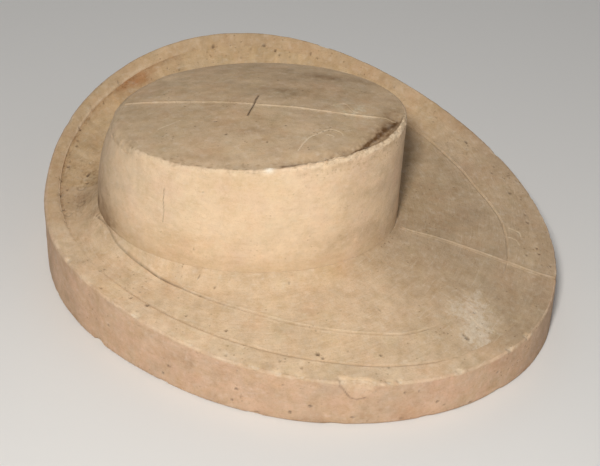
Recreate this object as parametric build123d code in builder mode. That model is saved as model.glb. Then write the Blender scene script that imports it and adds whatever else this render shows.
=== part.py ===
from build123d import *
import math
import os

# Hat block in two parts: a brim bed with an oval socket, and a crown that stands in it on pins.
# Origin: on the flat underside, below the middle of the crown.
# +X: along the scribed centre line to the wide, low front of the brim.
# +Y: to the high, turned-up side.  +Z: up.  Sizes in mm, angles in degrees from +X.

# ---------------------------------------------------------------- outer wall
# Outer wall stations: angle, outline radius, height of the top edge, width of the land
# (the wall's flat thickness in plan).
RIM_STATIONS = [
    (-180, 156.5, 47.5, 10.5), (-165, 146.9, 44.8, 12.5), (-150, 140.0, 43.7, 14.0),
    (-135, 135.3, 43.5, 14.0), (-120, 133.5, 42.7, 14.5), (-105, 135.8, 40.8, 14.5),
    (-90, 143.1, 38.6, 15.5), (-75, 154.8, 36.4, 16.5), (-60, 169.4, 34.0, 16.5),
    (-45, 185.5, 31.0, 14.5), (-30, 200.2, 29.0, 12.5), (-15, 209.6, 29.4, 12.0),
    (0, 210.0, 34.3, 11.0), (15, 201.4, 44.6, 10.5), (30, 187.6, 58.0, 10.0),
    (45, 174.6, 71.3, 9.5), (60, 166.4, 82.6, 9.0), (75, 164.6, 91.1, 9.0),
    (90, 168.3, 96.7, 9.0), (105, 175.1, 98.5, 9.0), (120, 181.4, 94.9, 9.0),
    (135, 183.0, 85.6, 9.0), (150, 178.0, 72.4, 9.0), (165, 167.9, 59.1, 9.5),
]
RADIUS, HEIGHT, LAND = 1, 2, 3                    # columns of the table
STATION_STEP = 360.0 / len(RIM_STATIONS)
RIM_POINTS = 48                                   # spline points round the rim
RIM_CHAMFER = 1.5

# ---------------------------------------------------------------- crown sizes
# Sloping levels are planes: z = Z + SLOPE_X * x + SLOPE_Y * y
TOP_Z, TOP_SLOPE_X, TOP_SLOPE_Y = 128.8, 0.091, -0.040
DOME = 8.0                                        # rise of the top in its middle
FOOT_Z, FOOT_SLOPE_X = 58.0, 0.010                # crease around the foot
MID_SHARE = 0.54                                  # middle level, as a share from foot to top
# Oval at each level: x of the back, x of the front, half width
CROWN_TOP = (-100.0, 100.0, 79.8)
CROWN_MID = (-108.5, 98.6, 82.2)
CROWN_FOOT = (-111.5, 97.2, 83.4)
CROWN_EGG = 0.034                                 # narrowing of the oval to the front
OVAL_POINTS = 28                                  # spline points round an oval
SEAT_Z = 26.0                                     # underside of the crown
SEAT_CHAMFER = 2.0
CROWN_SHELL = 7.0
CROWN_SCRIM_T = 1.2
SCRIM_BELOW_TOP, SCRIM_ABOVE_SEAT = 14.0, 10.0    # where the crown's scrim stops
SOCKET_GAP = 0.4                                  # around the crown in its socket
SEAT_GAP = 0.3                                    # under the crown in its socket
SOCKET_Z = SEAT_Z - SEAT_GAP                      # floor of the socket
SOCKET_TOP = 112
POUR_GAP = 0.12                                   # between pieces cast against each other

# ---------------------------------------------------------------- brim sizes
BRIM_Z, BRIM_SLOPE_X, BRIM_SLOPE_Y = 52.0, 0.055, 0.012    # brim level at the crown's foot
FACE_COAT = 12.0
SCRIM_T = 1.5
SCRIM_INSET = 1.5                                 # scrim back from the land
SCRIM_FOOT_GAP = 1.0                              # scrim out from the socket
FOOT_BLEND = 0.05                                 # softening where the brim starts to rise
DISH, DISH_START = 0.6, 5                         # hollowing of the +Y side, and where it starts
COVE = 12.0                                       # reach of the cove around the crown's foot
COVE_ROOT = 4.0                                   # cove's lowest section, below brim level
COVE_LIP, COVE_LIP_DROP = 0.6, 0.8                # cove's top edge: off the socket, below crease
COVE_MID_RISE = 0.3                               # cove's middle, as a share from brim to crease

# Scribed lines
GROOVE_W, GROOVE_D = 1.2, 0.9
LINE_START, LINE_END = 112, 215                   # centre line on the brim, along X
TOP_LINE_L = 230                                  # centre line over the crown's top
CROSS_MARK_X, CROSS_MARK_L = -5.0, 29
# Inner scribed line on the brim: angle, radial distance in from the rim
GROOVE_STATIONS = [
    (-120, 35.5), (-108, 36.4), (-96, 38.3), (-84, 40.5), (-72, 41.9), (-60, 43.0), (-48, 42.2),
    (-36, 39.8), (-24, 37.2), (-12, 35.4), (0, 34.3), (12, 34.0), (24, 34.6), (36, 34.2), (52, 31.0),
]
GROOVE_STEP = 4

# ---------------------------------------------------------------- reinforcement and location
HOOP_T, HOOP_H, HOOP_Z = 1.6, 12.0, 9.0
ROD_D, ROD_Z = 6.0, 7.5
ROD_LAP = 0.5                                     # overlap of the rods where they cross
LONG_RODS_Y, LONG_ROD_START, LONG_ROD_END = (-48.0, 48.0), -105.0, 150.0
CROSS_RODS = ((-92.0, -68.0, 112.0), (92.0, -100.0, 108.0))    # x, y of each end
PIN_D, PIN_IN, PIN_OUT = 10.0, 22.0, 11.0         # lengths above and below the seat
PINS_X = (-60.0, 60.0)
PIN_NOSE_R = 3.5
FLANGE_D, FLANGE_T = 22.0, 2.0
CUP_D, CUP_H, CUP_FLOOR, CUP_CLEAR = 16.0, 14.0, 2.0, 0.08
CUP_Z = SOCKET_Z - CUP_H

# Heights of helper solids, well clear of the finished surfaces
BED_CLEAR = 150
GROOVE_CLEAR = 160
ABOVE_BRIM_H, ABOVE_TOP_H, ABOVE_DOME = 220, 90, 4.0
TOP_MARK_Z, TOP_MARK_H = 90, 70

FROM_BELOW = (Align.CENTER, Align.CENTER, Align.MIN)


# ---------------------------------------------------------------- plan curves
def polar(radius, angle):
    return (radius * math.cos(math.radians(angle)), radius * math.sin(math.radians(angle)))


def station(angle, column):
    """Periodic Catmull-Rom reading of the rim table."""
    t = ((angle + 180.0) % 360.0) / STATION_STEP
    i = int(math.floor(t))
    f = t - i
    count = len(RIM_STATIONS)
    p0, p1, p2, p3 = (RIM_STATIONS[(i + k) % count][column] for k in (-1, 0, 1, 2))
    return 0.5 * (2 * p1 + (p2 - p0) * f + (2 * p0 - 5 * p1 + 4 * p2 - p3) * f * f
                  + (3 * p1 - p0 - 3 * p2 + p3) * f ** 3)


def rim_radius(angle, inset=0.0, land=0.0):
    """Outline radius, moved in by a fixed inset and by a share of the land's width."""
    radius = station(angle, RADIUS)
    slope = (station(angle + 2, RADIUS) - station(angle - 2, RADIUS)) / math.radians(4.0)
    # An inset square to the outline is longer when measured along the radius
    stretch = math.sqrt(1 + (slope / radius) ** 2)
    return radius - (inset + land * station(angle, LAND)) * stretch


def rim_points(inset=0.0, land=0.0):
    angles = [360.0 * k / RIM_POINTS for k in range(RIM_POINTS)]
    return [polar(rim_radius(angle, inset, land), angle) for angle in angles]


def oval(level, t, inset=0.0):
    """Point of a crown oval at parameter t, in radians."""
    back, front, half_width = level
    half_length = (front - back) / 2 - inset
    half_width = half_width - inset
    middle = (front + back) / 2
    return (middle + half_length * math.cos(t),
            half_width * math.sin(t) * (1 - CROWN_EGG * math.cos(t)))


def oval_points(level, inset=0.0):
    return [oval(level, 2 * math.pi * k / OVAL_POINTS, inset) for k in range(OVAL_POINTS)]


# ---------------------------------------------------------------- levels: z at a plan point
def seat_z(x, y):
    return SEAT_Z


def foot_z(x, y):
    return FOOT_Z + FOOT_SLOPE_X * x


def top_z(x, y):
    return TOP_Z + TOP_SLOPE_X * x + TOP_SLOPE_Y * y


def mid_z(x, y):
    return (1 - MID_SHARE) * foot_z(x, y) + MID_SHARE * top_z(x, y)


def dome_z(x, y):
    back, front, half_width = CROWN_TOP
    across = ((2 * x - front - back) / (front - back)) ** 2 + (y / half_width) ** 2
    return top_z(x, y) + DOME * (1 - across)


def brim_base(x, y):
    return BRIM_Z + BRIM_SLOPE_X * x + BRIM_SLOPE_Y * y


def solve_foot_radius(angle):
    """Radius of the crown's foot oval in a direction from the origin."""
    target = math.radians(angle)
    t = target
    for _ in range(30):
        x, y = oval(CROWN_FOOT, t)
        error = target - math.atan2(y, x)
        t += 0.9 * math.atan2(math.sin(error), math.cos(error))
    return math.hypot(*oval(CROWN_FOOT, t))


FOOT_STEP = 5
FOOT_RADII = [solve_foot_radius(angle) for angle in range(0, 360, FOOT_STEP)]


def foot_radius(angle):
    """Linear reading of the solved radii."""
    t = (angle % 360.0) / FOOT_STEP
    i = int(t)
    f = t - i
    count = len(FOOT_RADII)
    return FOOT_RADII[i % count] * (1 - f) + FOOT_RADII[(i + 1) % count] * f


def brim_z(x, y):
    """Brim surface: a straight run on the low side, dished on the turned-up side."""
    angle = math.degrees(math.atan2(y, x))
    rim, foot = station(angle, RADIUS), foot_radius(angle)
    edge_rise = station(angle, HEIGHT) - brim_base(*polar(rim, angle))
    # Share of the way from foot to rim, eased to zero inside the foot
    s = (math.hypot(x, y) - foot) / (rim - foot) / FOOT_BLEND
    s = FOOT_BLEND * (math.log1p(math.exp(s)) if s < 40 else s)
    power = 1.0 + DISH * max(0.0, math.sin(math.radians(angle - DISH_START)))
    # Beyond the rim the surface runs on straight
    share = s ** power if s <= 1 else 1 + power * (s - 1)
    return brim_base(x, y) + edge_rise * share


# ---------------------------------------------------------------- spaces above the surfaces
def height_face(height, grid_x, grid_y, tolerance):
    return Face.make_surface_from_array_of_points(
        [[Vector(x, y, height(x, y)) for x in grid_x] for y in grid_y],
        tol=tolerance, min_deg=3, max_deg=3,
    )


BRIM_FACE = height_face(brim_z, range(-176, 221, 11), range(-165, 188, 11), 0.05)
TOP_FACE = height_face(dome_z, range(-135, 136, 15), range(-105, 106, 15), 0.01)

with BuildPart() as brim_space:
    extrude(BRIM_FACE, amount=ABOVE_BRIM_H, dir=(0, 0, 1))

with BuildPart() as top_space:
    extrude(TOP_FACE, amount=ABOVE_TOP_H, dir=(0, 0, 1))


def above_brim(dz):
    """The space above the brim surface moved by dz."""
    return brim_space.part.moved(Location((0, 0, dz)))


# ---------------------------------------------------------------- shared forms
def prism(points, z0, z1):
    """Upright solid on a closed plan curve."""
    with BuildPart() as body:
        with BuildSketch(Plane.XY.offset(z0)):
            with BuildLine():
                Spline(*points, periodic=True)
            make_face()
        extrude(amount=z1 - z0)
    return body.part


def level_plane(height):
    origin_z = height(0, 0)
    slope_x = height(1, 0) - origin_z
    slope_y = height(0, 1) - origin_z
    return Plane(origin=(0, 0, origin_z), x_dir=(1, 0, slope_x), z_dir=(-slope_x, -slope_y, 1))


def oval_section(level, inset, height):
    """Crown oval, true in plan, on a sloping level."""
    plane = level_plane(height)
    points = [plane.to_local_coords(Vector(x, y, height(x, y)))
              for x, y in oval_points(level, inset)]
    with BuildSketch(plane) as sketch:
        with BuildLine():
            Spline(*[(p.X, p.Y) for p in points], periodic=True)
        make_face()
    return sketch.sketch


def crown_form(inset):
    """The crown's outside moved in by an inset: straight tenon below the crease, shaped above."""
    seat = oval_section(CROWN_FOOT, inset, seat_z)
    foot = oval_section(CROWN_FOOT, inset, foot_z)
    mid = oval_section(CROWN_MID, inset, mid_z)
    top = oval_section(CROWN_TOP, inset, top_z)
    with BuildPart() as form:
        loft(sections=[seat, foot], ruled=True)
        loft(sections=[foot, mid, top])
        extrude(top, amount=DOME + ABOVE_DOME, dir=(0, 0, 1))
        add(top_space.part, mode=Mode.SUBTRACT)
    return form.part


def hoop_body(grow):
    """Upright band along the middle of the land."""
    outside = rim_points(-HOOP_T / 2 - grow, land=0.5)
    inside = rim_points(HOOP_T / 2 + grow, land=0.5)
    z0, z1 = HOOP_Z - grow, HOOP_Z + HOOP_H + grow
    with BuildPart() as hoop:
        add(prism(outside, z0, z1))
        add(prism(inside, z0, z1), mode=Mode.SUBTRACT)
    return hoop.part


def rod_frame(grow):
    """Two rods along X with two across them on top."""
    radius = ROD_D / 2 + grow
    with BuildPart() as rods:
        x0, x1 = LONG_ROD_START, LONG_ROD_END
        for y in LONG_RODS_Y:
            with Locations(Location(((x0 + x1) / 2, y, ROD_Z), (0, 90, 0))):
                Cylinder(radius, x1 - x0 + 2 * grow)
        for x, y0, y1 in CROSS_RODS:
            with Locations(Location((x, (y0 + y1) / 2, ROD_Z + ROD_D - ROD_LAP), (90, 0, 0))):
                Cylinder(radius, y1 - y0 + 2 * grow)
    return rods.part


SOCKET = prism(oval_points(CROWN_FOOT, -SOCKET_GAP), SOCKET_Z, SOCKET_TOP)
BED_OUTLINE = rim_points(POUR_GAP, land=1.0)      # just inside the land

# ---------------------------------------------------------------- scribed lines, as cutters
with BuildPart() as line_cut:
    with BuildSketch(Plane.XY):
        with Locations(((LINE_START + LINE_END) / 2, 0)):
            Rectangle(LINE_END - LINE_START, GROOVE_W)
    extrude(amount=GROOVE_CLEAR)
    add(above_brim(-GROOVE_D), mode=Mode.INTERSECT)


def groove_inset(angle):
    """Linear reading of the inner scribed line's table."""
    for (a0, d0), (a1, d1) in zip(GROOVE_STATIONS, GROOVE_STATIONS[1:]):
        if a0 <= angle <= a1:
            return d0 + (d1 - d0) * (angle - a0) / (a1 - a0)


def groove_points(shift):
    angles = range(GROOVE_STATIONS[0][0], GROOVE_STATIONS[-1][0] + 1, GROOVE_STEP)
    return [polar(station(a, RADIUS) - groove_inset(a) + shift, a) for a in angles]


with BuildPart() as arc_cut:
    with BuildSketch(Plane.XY):
        with BuildLine():
            outer_edge = Spline(*groove_points(GROOVE_W / 2))
            inner_edge = Spline(*groove_points(-GROOVE_W / 2))
            Line(outer_edge @ 0, inner_edge @ 0)
            Line(outer_edge @ 1, inner_edge @ 1)
        make_face()
    extrude(amount=GROOVE_CLEAR)
    add(above_brim(-GROOVE_D), mode=Mode.INTERSECT)

with BuildPart() as top_marks:
    with BuildSketch(Plane.XY.offset(TOP_MARK_Z)):
        Rectangle(TOP_LINE_L, GROOVE_W)
        with Locations((CROSS_MARK_X, 0)):
            Rectangle(GROOVE_W, CROSS_MARK_L)
    extrude(amount=TOP_MARK_H)
    add(top_space.part.moved(Location((0, 0, -GROOVE_D))), mode=Mode.INTERSECT)

# ---------------------------------------------------------------- outer wall
with BuildPart() as rim_wall:
    with BuildSketch(Plane.XY):
        with BuildLine():
            Spline(*rim_points(), periodic=True)
        make_face()
    extrude(amount=BED_CLEAR)
    chamfer(rim_wall.edges().group_by(Axis.Z)[0], length=RIM_CHAMFER)
    add(prism(rim_points(land=1.0), -1, BED_CLEAR + 1), mode=Mode.SUBTRACT)
    add(above_brim(0), mode=Mode.SUBTRACT)
    add(hoop_body(POUR_GAP), mode=Mode.SUBTRACT)
    add(line_cut.part, mode=Mode.SUBTRACT)


# ---------------------------------------------------------------- brim face coat with its cove
def cove_root_z(x, y):
    return brim_base(x, y) - COVE_ROOT


def cove_mid_z(x, y):
    return (1 - COVE_MID_RISE) * brim_base(x, y) + COVE_MID_RISE * foot_z(x, y)


def cove_lip_z(x, y):
    return foot_z(x, y) - COVE_LIP_DROP


with BuildPart() as brim_bed:
    add(prism(BED_OUTLINE, 0, BED_CLEAR))
    add(above_brim(0), mode=Mode.SUBTRACT)
    add(above_brim(-FACE_COAT), mode=Mode.INTERSECT)
    loft(sections=[
        oval_section(CROWN_FOOT, -COVE * 1.25, cove_root_z),
        oval_section(CROWN_FOOT, -COVE * 0.42, cove_mid_z),
        oval_section(CROWN_FOOT, -(SOCKET_GAP + COVE_LIP), cove_lip_z),
    ])
    add(SOCKET, mode=Mode.SUBTRACT)
    add(arc_cut.part, mode=Mode.SUBTRACT)
    add(line_cut.part, mode=Mode.SUBTRACT)

# ---------------------------------------------------------------- hessian behind the face coat
SCRIM_DZ = -FACE_COAT - POUR_GAP                  # its top, from the brim surface
with BuildPart() as bed_scrim:
    add(prism(rim_points(SCRIM_INSET, land=1.0), 0, BED_CLEAR))
    add(above_brim(SCRIM_DZ), mode=Mode.SUBTRACT)
    add(above_brim(SCRIM_DZ - SCRIM_T), mode=Mode.INTERSECT)
    add(prism(oval_points(CROWN_FOOT, -SOCKET_GAP - SCRIM_FOOT_GAP), 0, BED_CLEAR),
        mode=Mode.SUBTRACT)

# ---------------------------------------------------------------- coarse backing with the socket
BACKING_DZ = SCRIM_DZ - SCRIM_T - POUR_GAP        # its top, from the brim surface
with BuildPart() as bed_backing:
    add(prism(BED_OUTLINE, 0, BED_CLEAR))
    add(above_brim(BACKING_DZ), mode=Mode.SUBTRACT)
    add(SOCKET, mode=Mode.SUBTRACT)
    add(rod_frame(POUR_GAP), mode=Mode.SUBTRACT)
    with Locations(*[(x, 0, SOCKET_Z) for x in PINS_X]):
        CounterBoreHole(
            radius=CUP_D / 2 + POUR_GAP, counter_bore_radius=FLANGE_D / 2 + POUR_GAP,
            counter_bore_depth=FLANGE_T + POUR_GAP, depth=CUP_H + POUR_GAP,
        )

# ---------------------------------------------------------------- cups for the pins
with BuildPart() as locating_cups:
    for x in PINS_X:
        with Locations((x, 0, CUP_Z)):
            Cylinder(CUP_D / 2, CUP_H, align=FROM_BELOW)
        with Locations((x, 0, CUP_Z + CUP_H - FLANGE_T)):
            Cylinder(FLANGE_D / 2, FLANGE_T, align=FROM_BELOW)
    with Locations(*[(x, 0, CUP_Z + CUP_H) for x in PINS_X]):
        Hole(PIN_D / 2 + CUP_CLEAR, depth=CUP_H - CUP_FLOOR)

# ---------------------------------------------------------------- crown wall
crown_inside = crown_form(CROWN_SHELL)


def on_seat(edge):
    return all(abs((edge @ t).Z - SEAT_Z) < 0.01 for t in (0, 0.5))


with BuildPart() as crown_wall:
    add(crown_form(0.0))
    chamfer(crown_wall.edges().filter_by(on_seat), length=SEAT_CHAMFER)
    add(crown_inside, mode=Mode.SUBTRACT)
    add(top_marks.part, mode=Mode.SUBTRACT)

# ---------------------------------------------------------------- hessian inside the crown wall
fill_outside = crown_form(CROWN_SHELL + POUR_GAP)


def crown_band(outside, inside, grow):
    """Shell between two crown forms, cut off below the top and above the seat."""
    with BuildPart() as band:
        add(outside)
        add(inside, mode=Mode.SUBTRACT)
        split(bisect_by=level_plane(top_z).offset(-SCRIM_BELOW_TOP + grow), keep=Keep.BOTTOM)
        split(bisect_by=Plane.XY.offset(SEAT_Z + SCRIM_ABOVE_SEAT - grow), keep=Keep.TOP)
    return band.part


crown_scrim = crown_band(fill_outside, crown_form(CROWN_SHELL + POUR_GAP + CROWN_SCRIM_T), 0.0)
scrim_room = crown_band(
    crown_inside, crown_form(CROWN_SHELL + 2 * POUR_GAP + CROWN_SCRIM_T), POUR_GAP)

# ---------------------------------------------------------------- crown fill
with BuildPart() as crown_fill:
    add(fill_outside)
    add(scrim_room, mode=Mode.SUBTRACT)
    add(top_marks.part, mode=Mode.SUBTRACT)
    # Turned over, to bore upwards from the seat
    with Locations(*[Location((x, 0, SEAT_Z), (180, 0, 0)) for x in PINS_X]):
        CounterBoreHole(
            radius=PIN_D / 2 + POUR_GAP, counter_bore_radius=FLANGE_D / 2 + POUR_GAP,
            counter_bore_depth=FLANGE_T + POUR_GAP, depth=PIN_IN + POUR_GAP,
        )

# ---------------------------------------------------------------- pins under the crown
with BuildPart() as locating_pins:
    for x in PINS_X:
        with Locations((x, 0, SEAT_Z - PIN_OUT)):
            Cylinder(PIN_D / 2, PIN_OUT + PIN_IN, align=FROM_BELOW)
        with Locations((x, 0, SEAT_Z)):
            Cylinder(FLANGE_D / 2, FLANGE_T, align=FROM_BELOW)
    fillet(locating_pins.edges().group_by(Axis.Z)[0], radius=PIN_NOSE_R)

# ---------------------------------------------------------------- export
PIECES = {
    "rim_wall": rim_wall.part,
    "rim_hoop": hoop_body(0.0),
    "brim_bed": brim_bed.part,
    "bed_scrim": bed_scrim.part,
    "bed_backing": bed_backing.part,
    "bed_rods": rod_frame(0.0),
    "locating_cups": locating_cups.part,
    "crown_wall": crown_wall.part,
    "crown_scrim": crown_scrim,
    "crown_fill": crown_fill.part,
    "locating_pins": locating_pins.part,
}

os.makedirs("parts", exist_ok=True)
for name, piece in PIECES.items():
    piece.label = name
    export_step(piece, f"parts/{name}.step")
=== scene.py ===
# A plaster mold in two parts: a dished brim with an outer wall, and a domed oval crown whose
# foot stands in the brim's socket. Shapes are in the CAD's millimetres, +Z up, base on z = 0.
# The crown's long axis runs along X. Right is +X, left -X, near -Y and far +Y. Bearings are
# degrees counter-clockwise from +X about the origin.
import math

import bpy
import numpy as np
from mathutils import Matrix, Vector
from mathutils.geometry import delaunay_2d_cdt


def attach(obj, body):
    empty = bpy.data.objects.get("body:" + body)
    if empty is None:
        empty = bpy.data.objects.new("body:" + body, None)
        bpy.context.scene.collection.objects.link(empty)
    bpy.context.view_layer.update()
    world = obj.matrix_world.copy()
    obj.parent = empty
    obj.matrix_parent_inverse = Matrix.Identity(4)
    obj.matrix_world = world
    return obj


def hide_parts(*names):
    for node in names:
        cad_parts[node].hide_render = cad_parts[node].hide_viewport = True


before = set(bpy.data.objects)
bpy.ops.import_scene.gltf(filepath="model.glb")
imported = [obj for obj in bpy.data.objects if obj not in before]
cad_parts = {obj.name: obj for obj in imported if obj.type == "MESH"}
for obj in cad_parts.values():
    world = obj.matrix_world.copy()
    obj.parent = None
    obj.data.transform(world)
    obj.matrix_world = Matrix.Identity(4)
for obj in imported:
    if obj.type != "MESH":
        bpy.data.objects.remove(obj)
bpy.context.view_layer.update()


MM = 0.001
DETAIL = 1.0


def scaled(count):
    """A segment count, lowered for a quick build."""
    return int(round(count * DETAIL))


# ---------------------------------------------------------------- driving shape, in mm
# rim: bearing, radius, height, width of the land inside the edge
STATIONS = np.array([
    (-180, 156.5, 47.5, 10.5), (-165, 146.9, 44.8, 12.5), (-150, 140.0, 43.7, 14.0),
    (-135, 135.3, 43.5, 14.0), (-120, 133.5, 42.7, 14.5), (-105, 135.8, 40.8, 14.5),
    (-90, 143.1, 38.6, 15.5), (-75, 154.8, 36.4, 16.5), (-60, 169.4, 34.0, 16.5),
    (-45, 185.5, 31.0, 14.5), (-30, 200.2, 29.0, 12.5), (-15, 209.6, 29.4, 12.0),
    (0, 210.0, 34.3, 11.0), (15, 201.4, 44.6, 10.5), (30, 187.6, 58.0, 10.0),
    (45, 174.6, 71.3, 9.5), (60, 166.4, 82.6, 9.0), (75, 164.6, 91.1, 9.0),
    (90, 168.3, 96.7, 9.0), (105, 175.1, 98.5, 9.0), (120, 181.4, 94.9, 9.0),
    (135, 183.0, 85.6, 9.0), (150, 178.0, 72.4, 9.0), (165, 167.9, 59.1, 9.5),
])
RADIUS, HEIGHT, LAND = 1, 2, 3                  # columns of STATIONS
# crown outline at its foot, at MID_LEVEL of its height and at its top: left end, right end, half width
LEVELS = np.array([(-111.5, 97.2, 83.4), (-108.5, 98.6, 82.2), (-100.0, 100.0, 79.8)])
MID_LEVEL = 0.54
EGG = 0.034                                     # how much narrower the crown's right end is
TOP_Z, TOP_DX, TOP_DY, DOME = 128.8, 0.091, -0.040, 8.0   # top plane, its slopes, dome height
FOOT_Z, FOOT_DX = 58.0, 0.010                   # foot line and its slope
SEAT_Z, SHELL, SOCKET_GAP, POUR_GAP = 26.0, 7.0, 0.4, 0.12
FOOT_BEVEL = 2.0
BRIM_Z, BRIM_DX, BRIM_DY = 52.0, 0.055, 0.012   # base plane of the brim and its slopes
DISH, DISH_EASE = 0.6, 0.05                     # hollow of the far brim, soft start at the foot
FACE_COAT, COVE = 12.0, 13.0                    # face thickness, width of the sweep to the foot
STEP = 2.4                                      # deepest drop from the land to the brim
BASE_ROUND = 1.6                                # rounding of the outer wall's bottom edge
PIN_X, FLANGE_R, PIN_R, FLANGE_TALL, PIN_TALL = 60.0, 11.0, 5.0, 2.0, 22.0
TOP, ROUND, SIDE, LOWER, UNDER, INNER = range(6)  # parts of a piece's closed profile


def ease(start, end, value):
    """0 at start, 1 at end, smooth between; start may be the larger."""
    share = np.clip((np.asarray(value, float) - start) / (end - start), 0, 1)
    return share * share * (3 - 2 * share)


def span(value, rise, full, hold, end):
    """1 from full to hold and 0 outside rise and end; crosses 180 degrees when hold < rise."""
    up, down = ease(rise, full, value), 1 - ease(hold, end, value)
    return np.maximum(up, down) if hold < rise else up * down


def bell(offset, width):
    return np.exp(-(offset / width) ** 2)


def stack(*columns):
    """Columns, or single values, side by side as an array of points."""
    return np.stack(np.broadcast_arrays(*columns), axis=-1).astype(float)


def polar(deg, radius):
    return radius * np.cos(np.radians(deg)), radius * np.sin(np.radians(deg))


def bearing(x, y):
    return np.degrees(np.arctan2(y, x))


def catmull_rom(before, start, end, after, share):
    return 0.5 * (2 * start + (end - before) * share
                  + (2 * before - 5 * start + 4 * end - after) * share ** 2
                  + (3 * start - before - 3 * end + after) * share ** 3)


def station(deg, column):
    """One column of STATIONS, smoothed, at any bearing."""
    place = ((np.asarray(deg, float) + 180.0) % 360.0) / 15.0
    index = np.floor(place).astype(int)
    values = [STATIONS[(index + k) % len(STATIONS), column] for k in (-1, 0, 1, 2)]
    return catmull_rom(*values, place - index)


def stretch(deg):
    """Radial length per unit of width measured square to the rim."""
    slope = (station(deg + 2, RADIUS) - station(deg - 2, RADIUS)) / math.radians(4)
    return np.sqrt(1 + (slope / station(deg, RADIUS)) ** 2)


def land_radius(deg, gap=0.0):
    """Radius of the land's inner edge, less a gap."""
    return station(deg, RADIUS) - (gap + station(deg, LAND)) * stretch(deg)


def oval(level, turn, inset=0.0):
    """Crown outline at a share of its height; turn is the oval's own angle in radians."""
    level, mid = np.clip(level, 0.0, 1.0)[..., None], MID_LEVEL
    ends = (LEVELS[0] * (level - mid) * (level - 1) / mid
            + LEVELS[1] * level * (level - 1) / (mid * (mid - 1))
            + LEVELS[2] * level * (level - mid) / (1 - mid))
    left, right, half = np.moveaxis(ends, -1, 0)
    x = (right + left) / 2 + ((right - left) / 2 - inset) * np.cos(turn)
    return x, (half - inset) * np.sin(turn) * (1 - EGG * np.cos(turn))


def top_z(x, y):
    return TOP_Z + TOP_DX * x + TOP_DY * y


def dome_z(x, y):
    left, right, half = LEVELS[2]
    return top_z(x, y) + DOME * (1 - ((2 * x - right - left) / (right - left)) ** 2
                                 - (y / half) ** 2)


def foot_z(x):
    return FOOT_Z + FOOT_DX * x


def level_at(z, turn):
    """Share of the crown's height at a height z."""
    foot = foot_z(oval(0, turn)[0])
    return (z - foot) / (top_z(*oval(1, turn)) - foot)


FOOT_X, FOOT_Y = oval(0, np.linspace(-math.pi, math.pi, 7201))
FOOT_TURNS, FOOT_RADII = np.unwrap(np.arctan2(FOOT_Y, FOOT_X)), np.hypot(FOOT_X, FOOT_Y)


def foot_radius(deg):
    turn = (np.radians(np.asarray(deg, float)) + math.pi) % (2 * math.pi) - math.pi
    return np.interp(turn, FOOT_TURNS, FOOT_RADII)


def brim_base(x, y):
    return BRIM_Z + BRIM_DX * x + BRIM_DY * y


def brim_z(x, y):
    """Height of the dished brim without its small details."""
    deg = bearing(x, y)
    rim, foot = station(deg, RADIUS), foot_radius(deg)
    share = (np.hypot(x, y) - foot) / (rim - foot) / DISH_EASE
    share = DISH_EASE * np.where(share < 40, np.log1p(np.exp(np.minimum(share, 40))), share)
    power = 1 + DISH * np.maximum(0, np.sin(np.radians(deg - 5)))
    climb = np.where(share <= 1, share ** power, 1 + power * (share - 1))
    return brim_base(x, y) + (station(deg, HEIGHT) - brim_base(*polar(deg, rim))) * climb


# ---------------------------------------------------------------- noise and patterns
HASH_PRIMES = np.array([374761393, 668265263, 1442695041])


def noise(points, seed):
    """Gradient noise, about -1 to 1."""
    cell = np.floor(points).astype(np.int64)
    inside = points - cell
    fade = inside * inside * inside * (inside * (inside * 6 - 15) + 10)
    out = np.zeros(len(points))
    for corner in np.ndindex(2, 2, 2):
        mixed = (cell + corner) @ HASH_PRIMES + seed * 97463477
        mixed = (mixed ^ (mixed >> 13)) * 1274126177
        mixed = (mixed ^ (mixed >> 16)) & 0xFFFFFFFF
        turn = mixed * (2 * math.pi / 4294967296.0)
        up = ((mixed * 40503) & 0xFFFF) / 32767.5 - 1
        level = np.sqrt(np.maximum(0, 1 - up * up))
        x, y, z = (inside - corner).T
        share_x, share_y, share_z = np.where(corner, fade, 1 - fade).T
        slope = level * np.cos(turn) * x + level * np.sin(turn) * y + up * z
        out += slope * (share_x * share_y * share_z)
    return out * 1.7


def lumps(points, size, octaves, seed, gain=0.5, squash=(1, 1, 1)):
    """Layered noise whose largest lumps are size mm across, drawn out along the axes by squash."""
    points = np.asarray(points, float) / np.array(squash, float) / size
    out, weight, total = np.zeros(len(points)), 1.0, 0.0
    for k in range(octaves):
        out += weight * noise(points * 2 ** k + 17.3 * k, seed + 31 * k)
        total += weight
        weight *= gain
    return out / total


def relief(points, *layers):
    """Sum of noises, each (height, size, octaves, seed, gain, squash)."""
    return sum(height * lumps(points, *grain) for height, *grain in layers)


def patchy(points, grain, level, swing, high=1.0, low=0.0):
    """level + swing * noise, kept in low..high; grain is (size, octaves, seed, gain, squash)."""
    return np.clip(level + swing * lumps(points, *grain), low, high)


def turned(points, x, y, turn):
    """Offsets from x, y along and across a direction turned by turn degrees."""
    cos, sin = math.cos(math.radians(turn)), math.sin(math.radians(turn))
    across, up = points[:, 0] - x, points[:, 1] - y
    return across * cos + up * sin, -across * sin + up * cos


def blob(points, x, y, half_long, half_wide, turn=0.0):
    """A soft oval patch, 1 in its middle, in the first two columns."""
    along, across = turned(points, x, y, turn)
    return np.exp(-(along / half_long) ** 2 - (across / half_wide) ** 2)


def blobs(points, *spots, high=1.0):
    """Sum of patches, each (weight, x, y, half length, half width, turn), kept below high."""
    return np.clip(sum(weight * blob(points, *spot) for weight, *spot in spots), 0, high)


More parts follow.
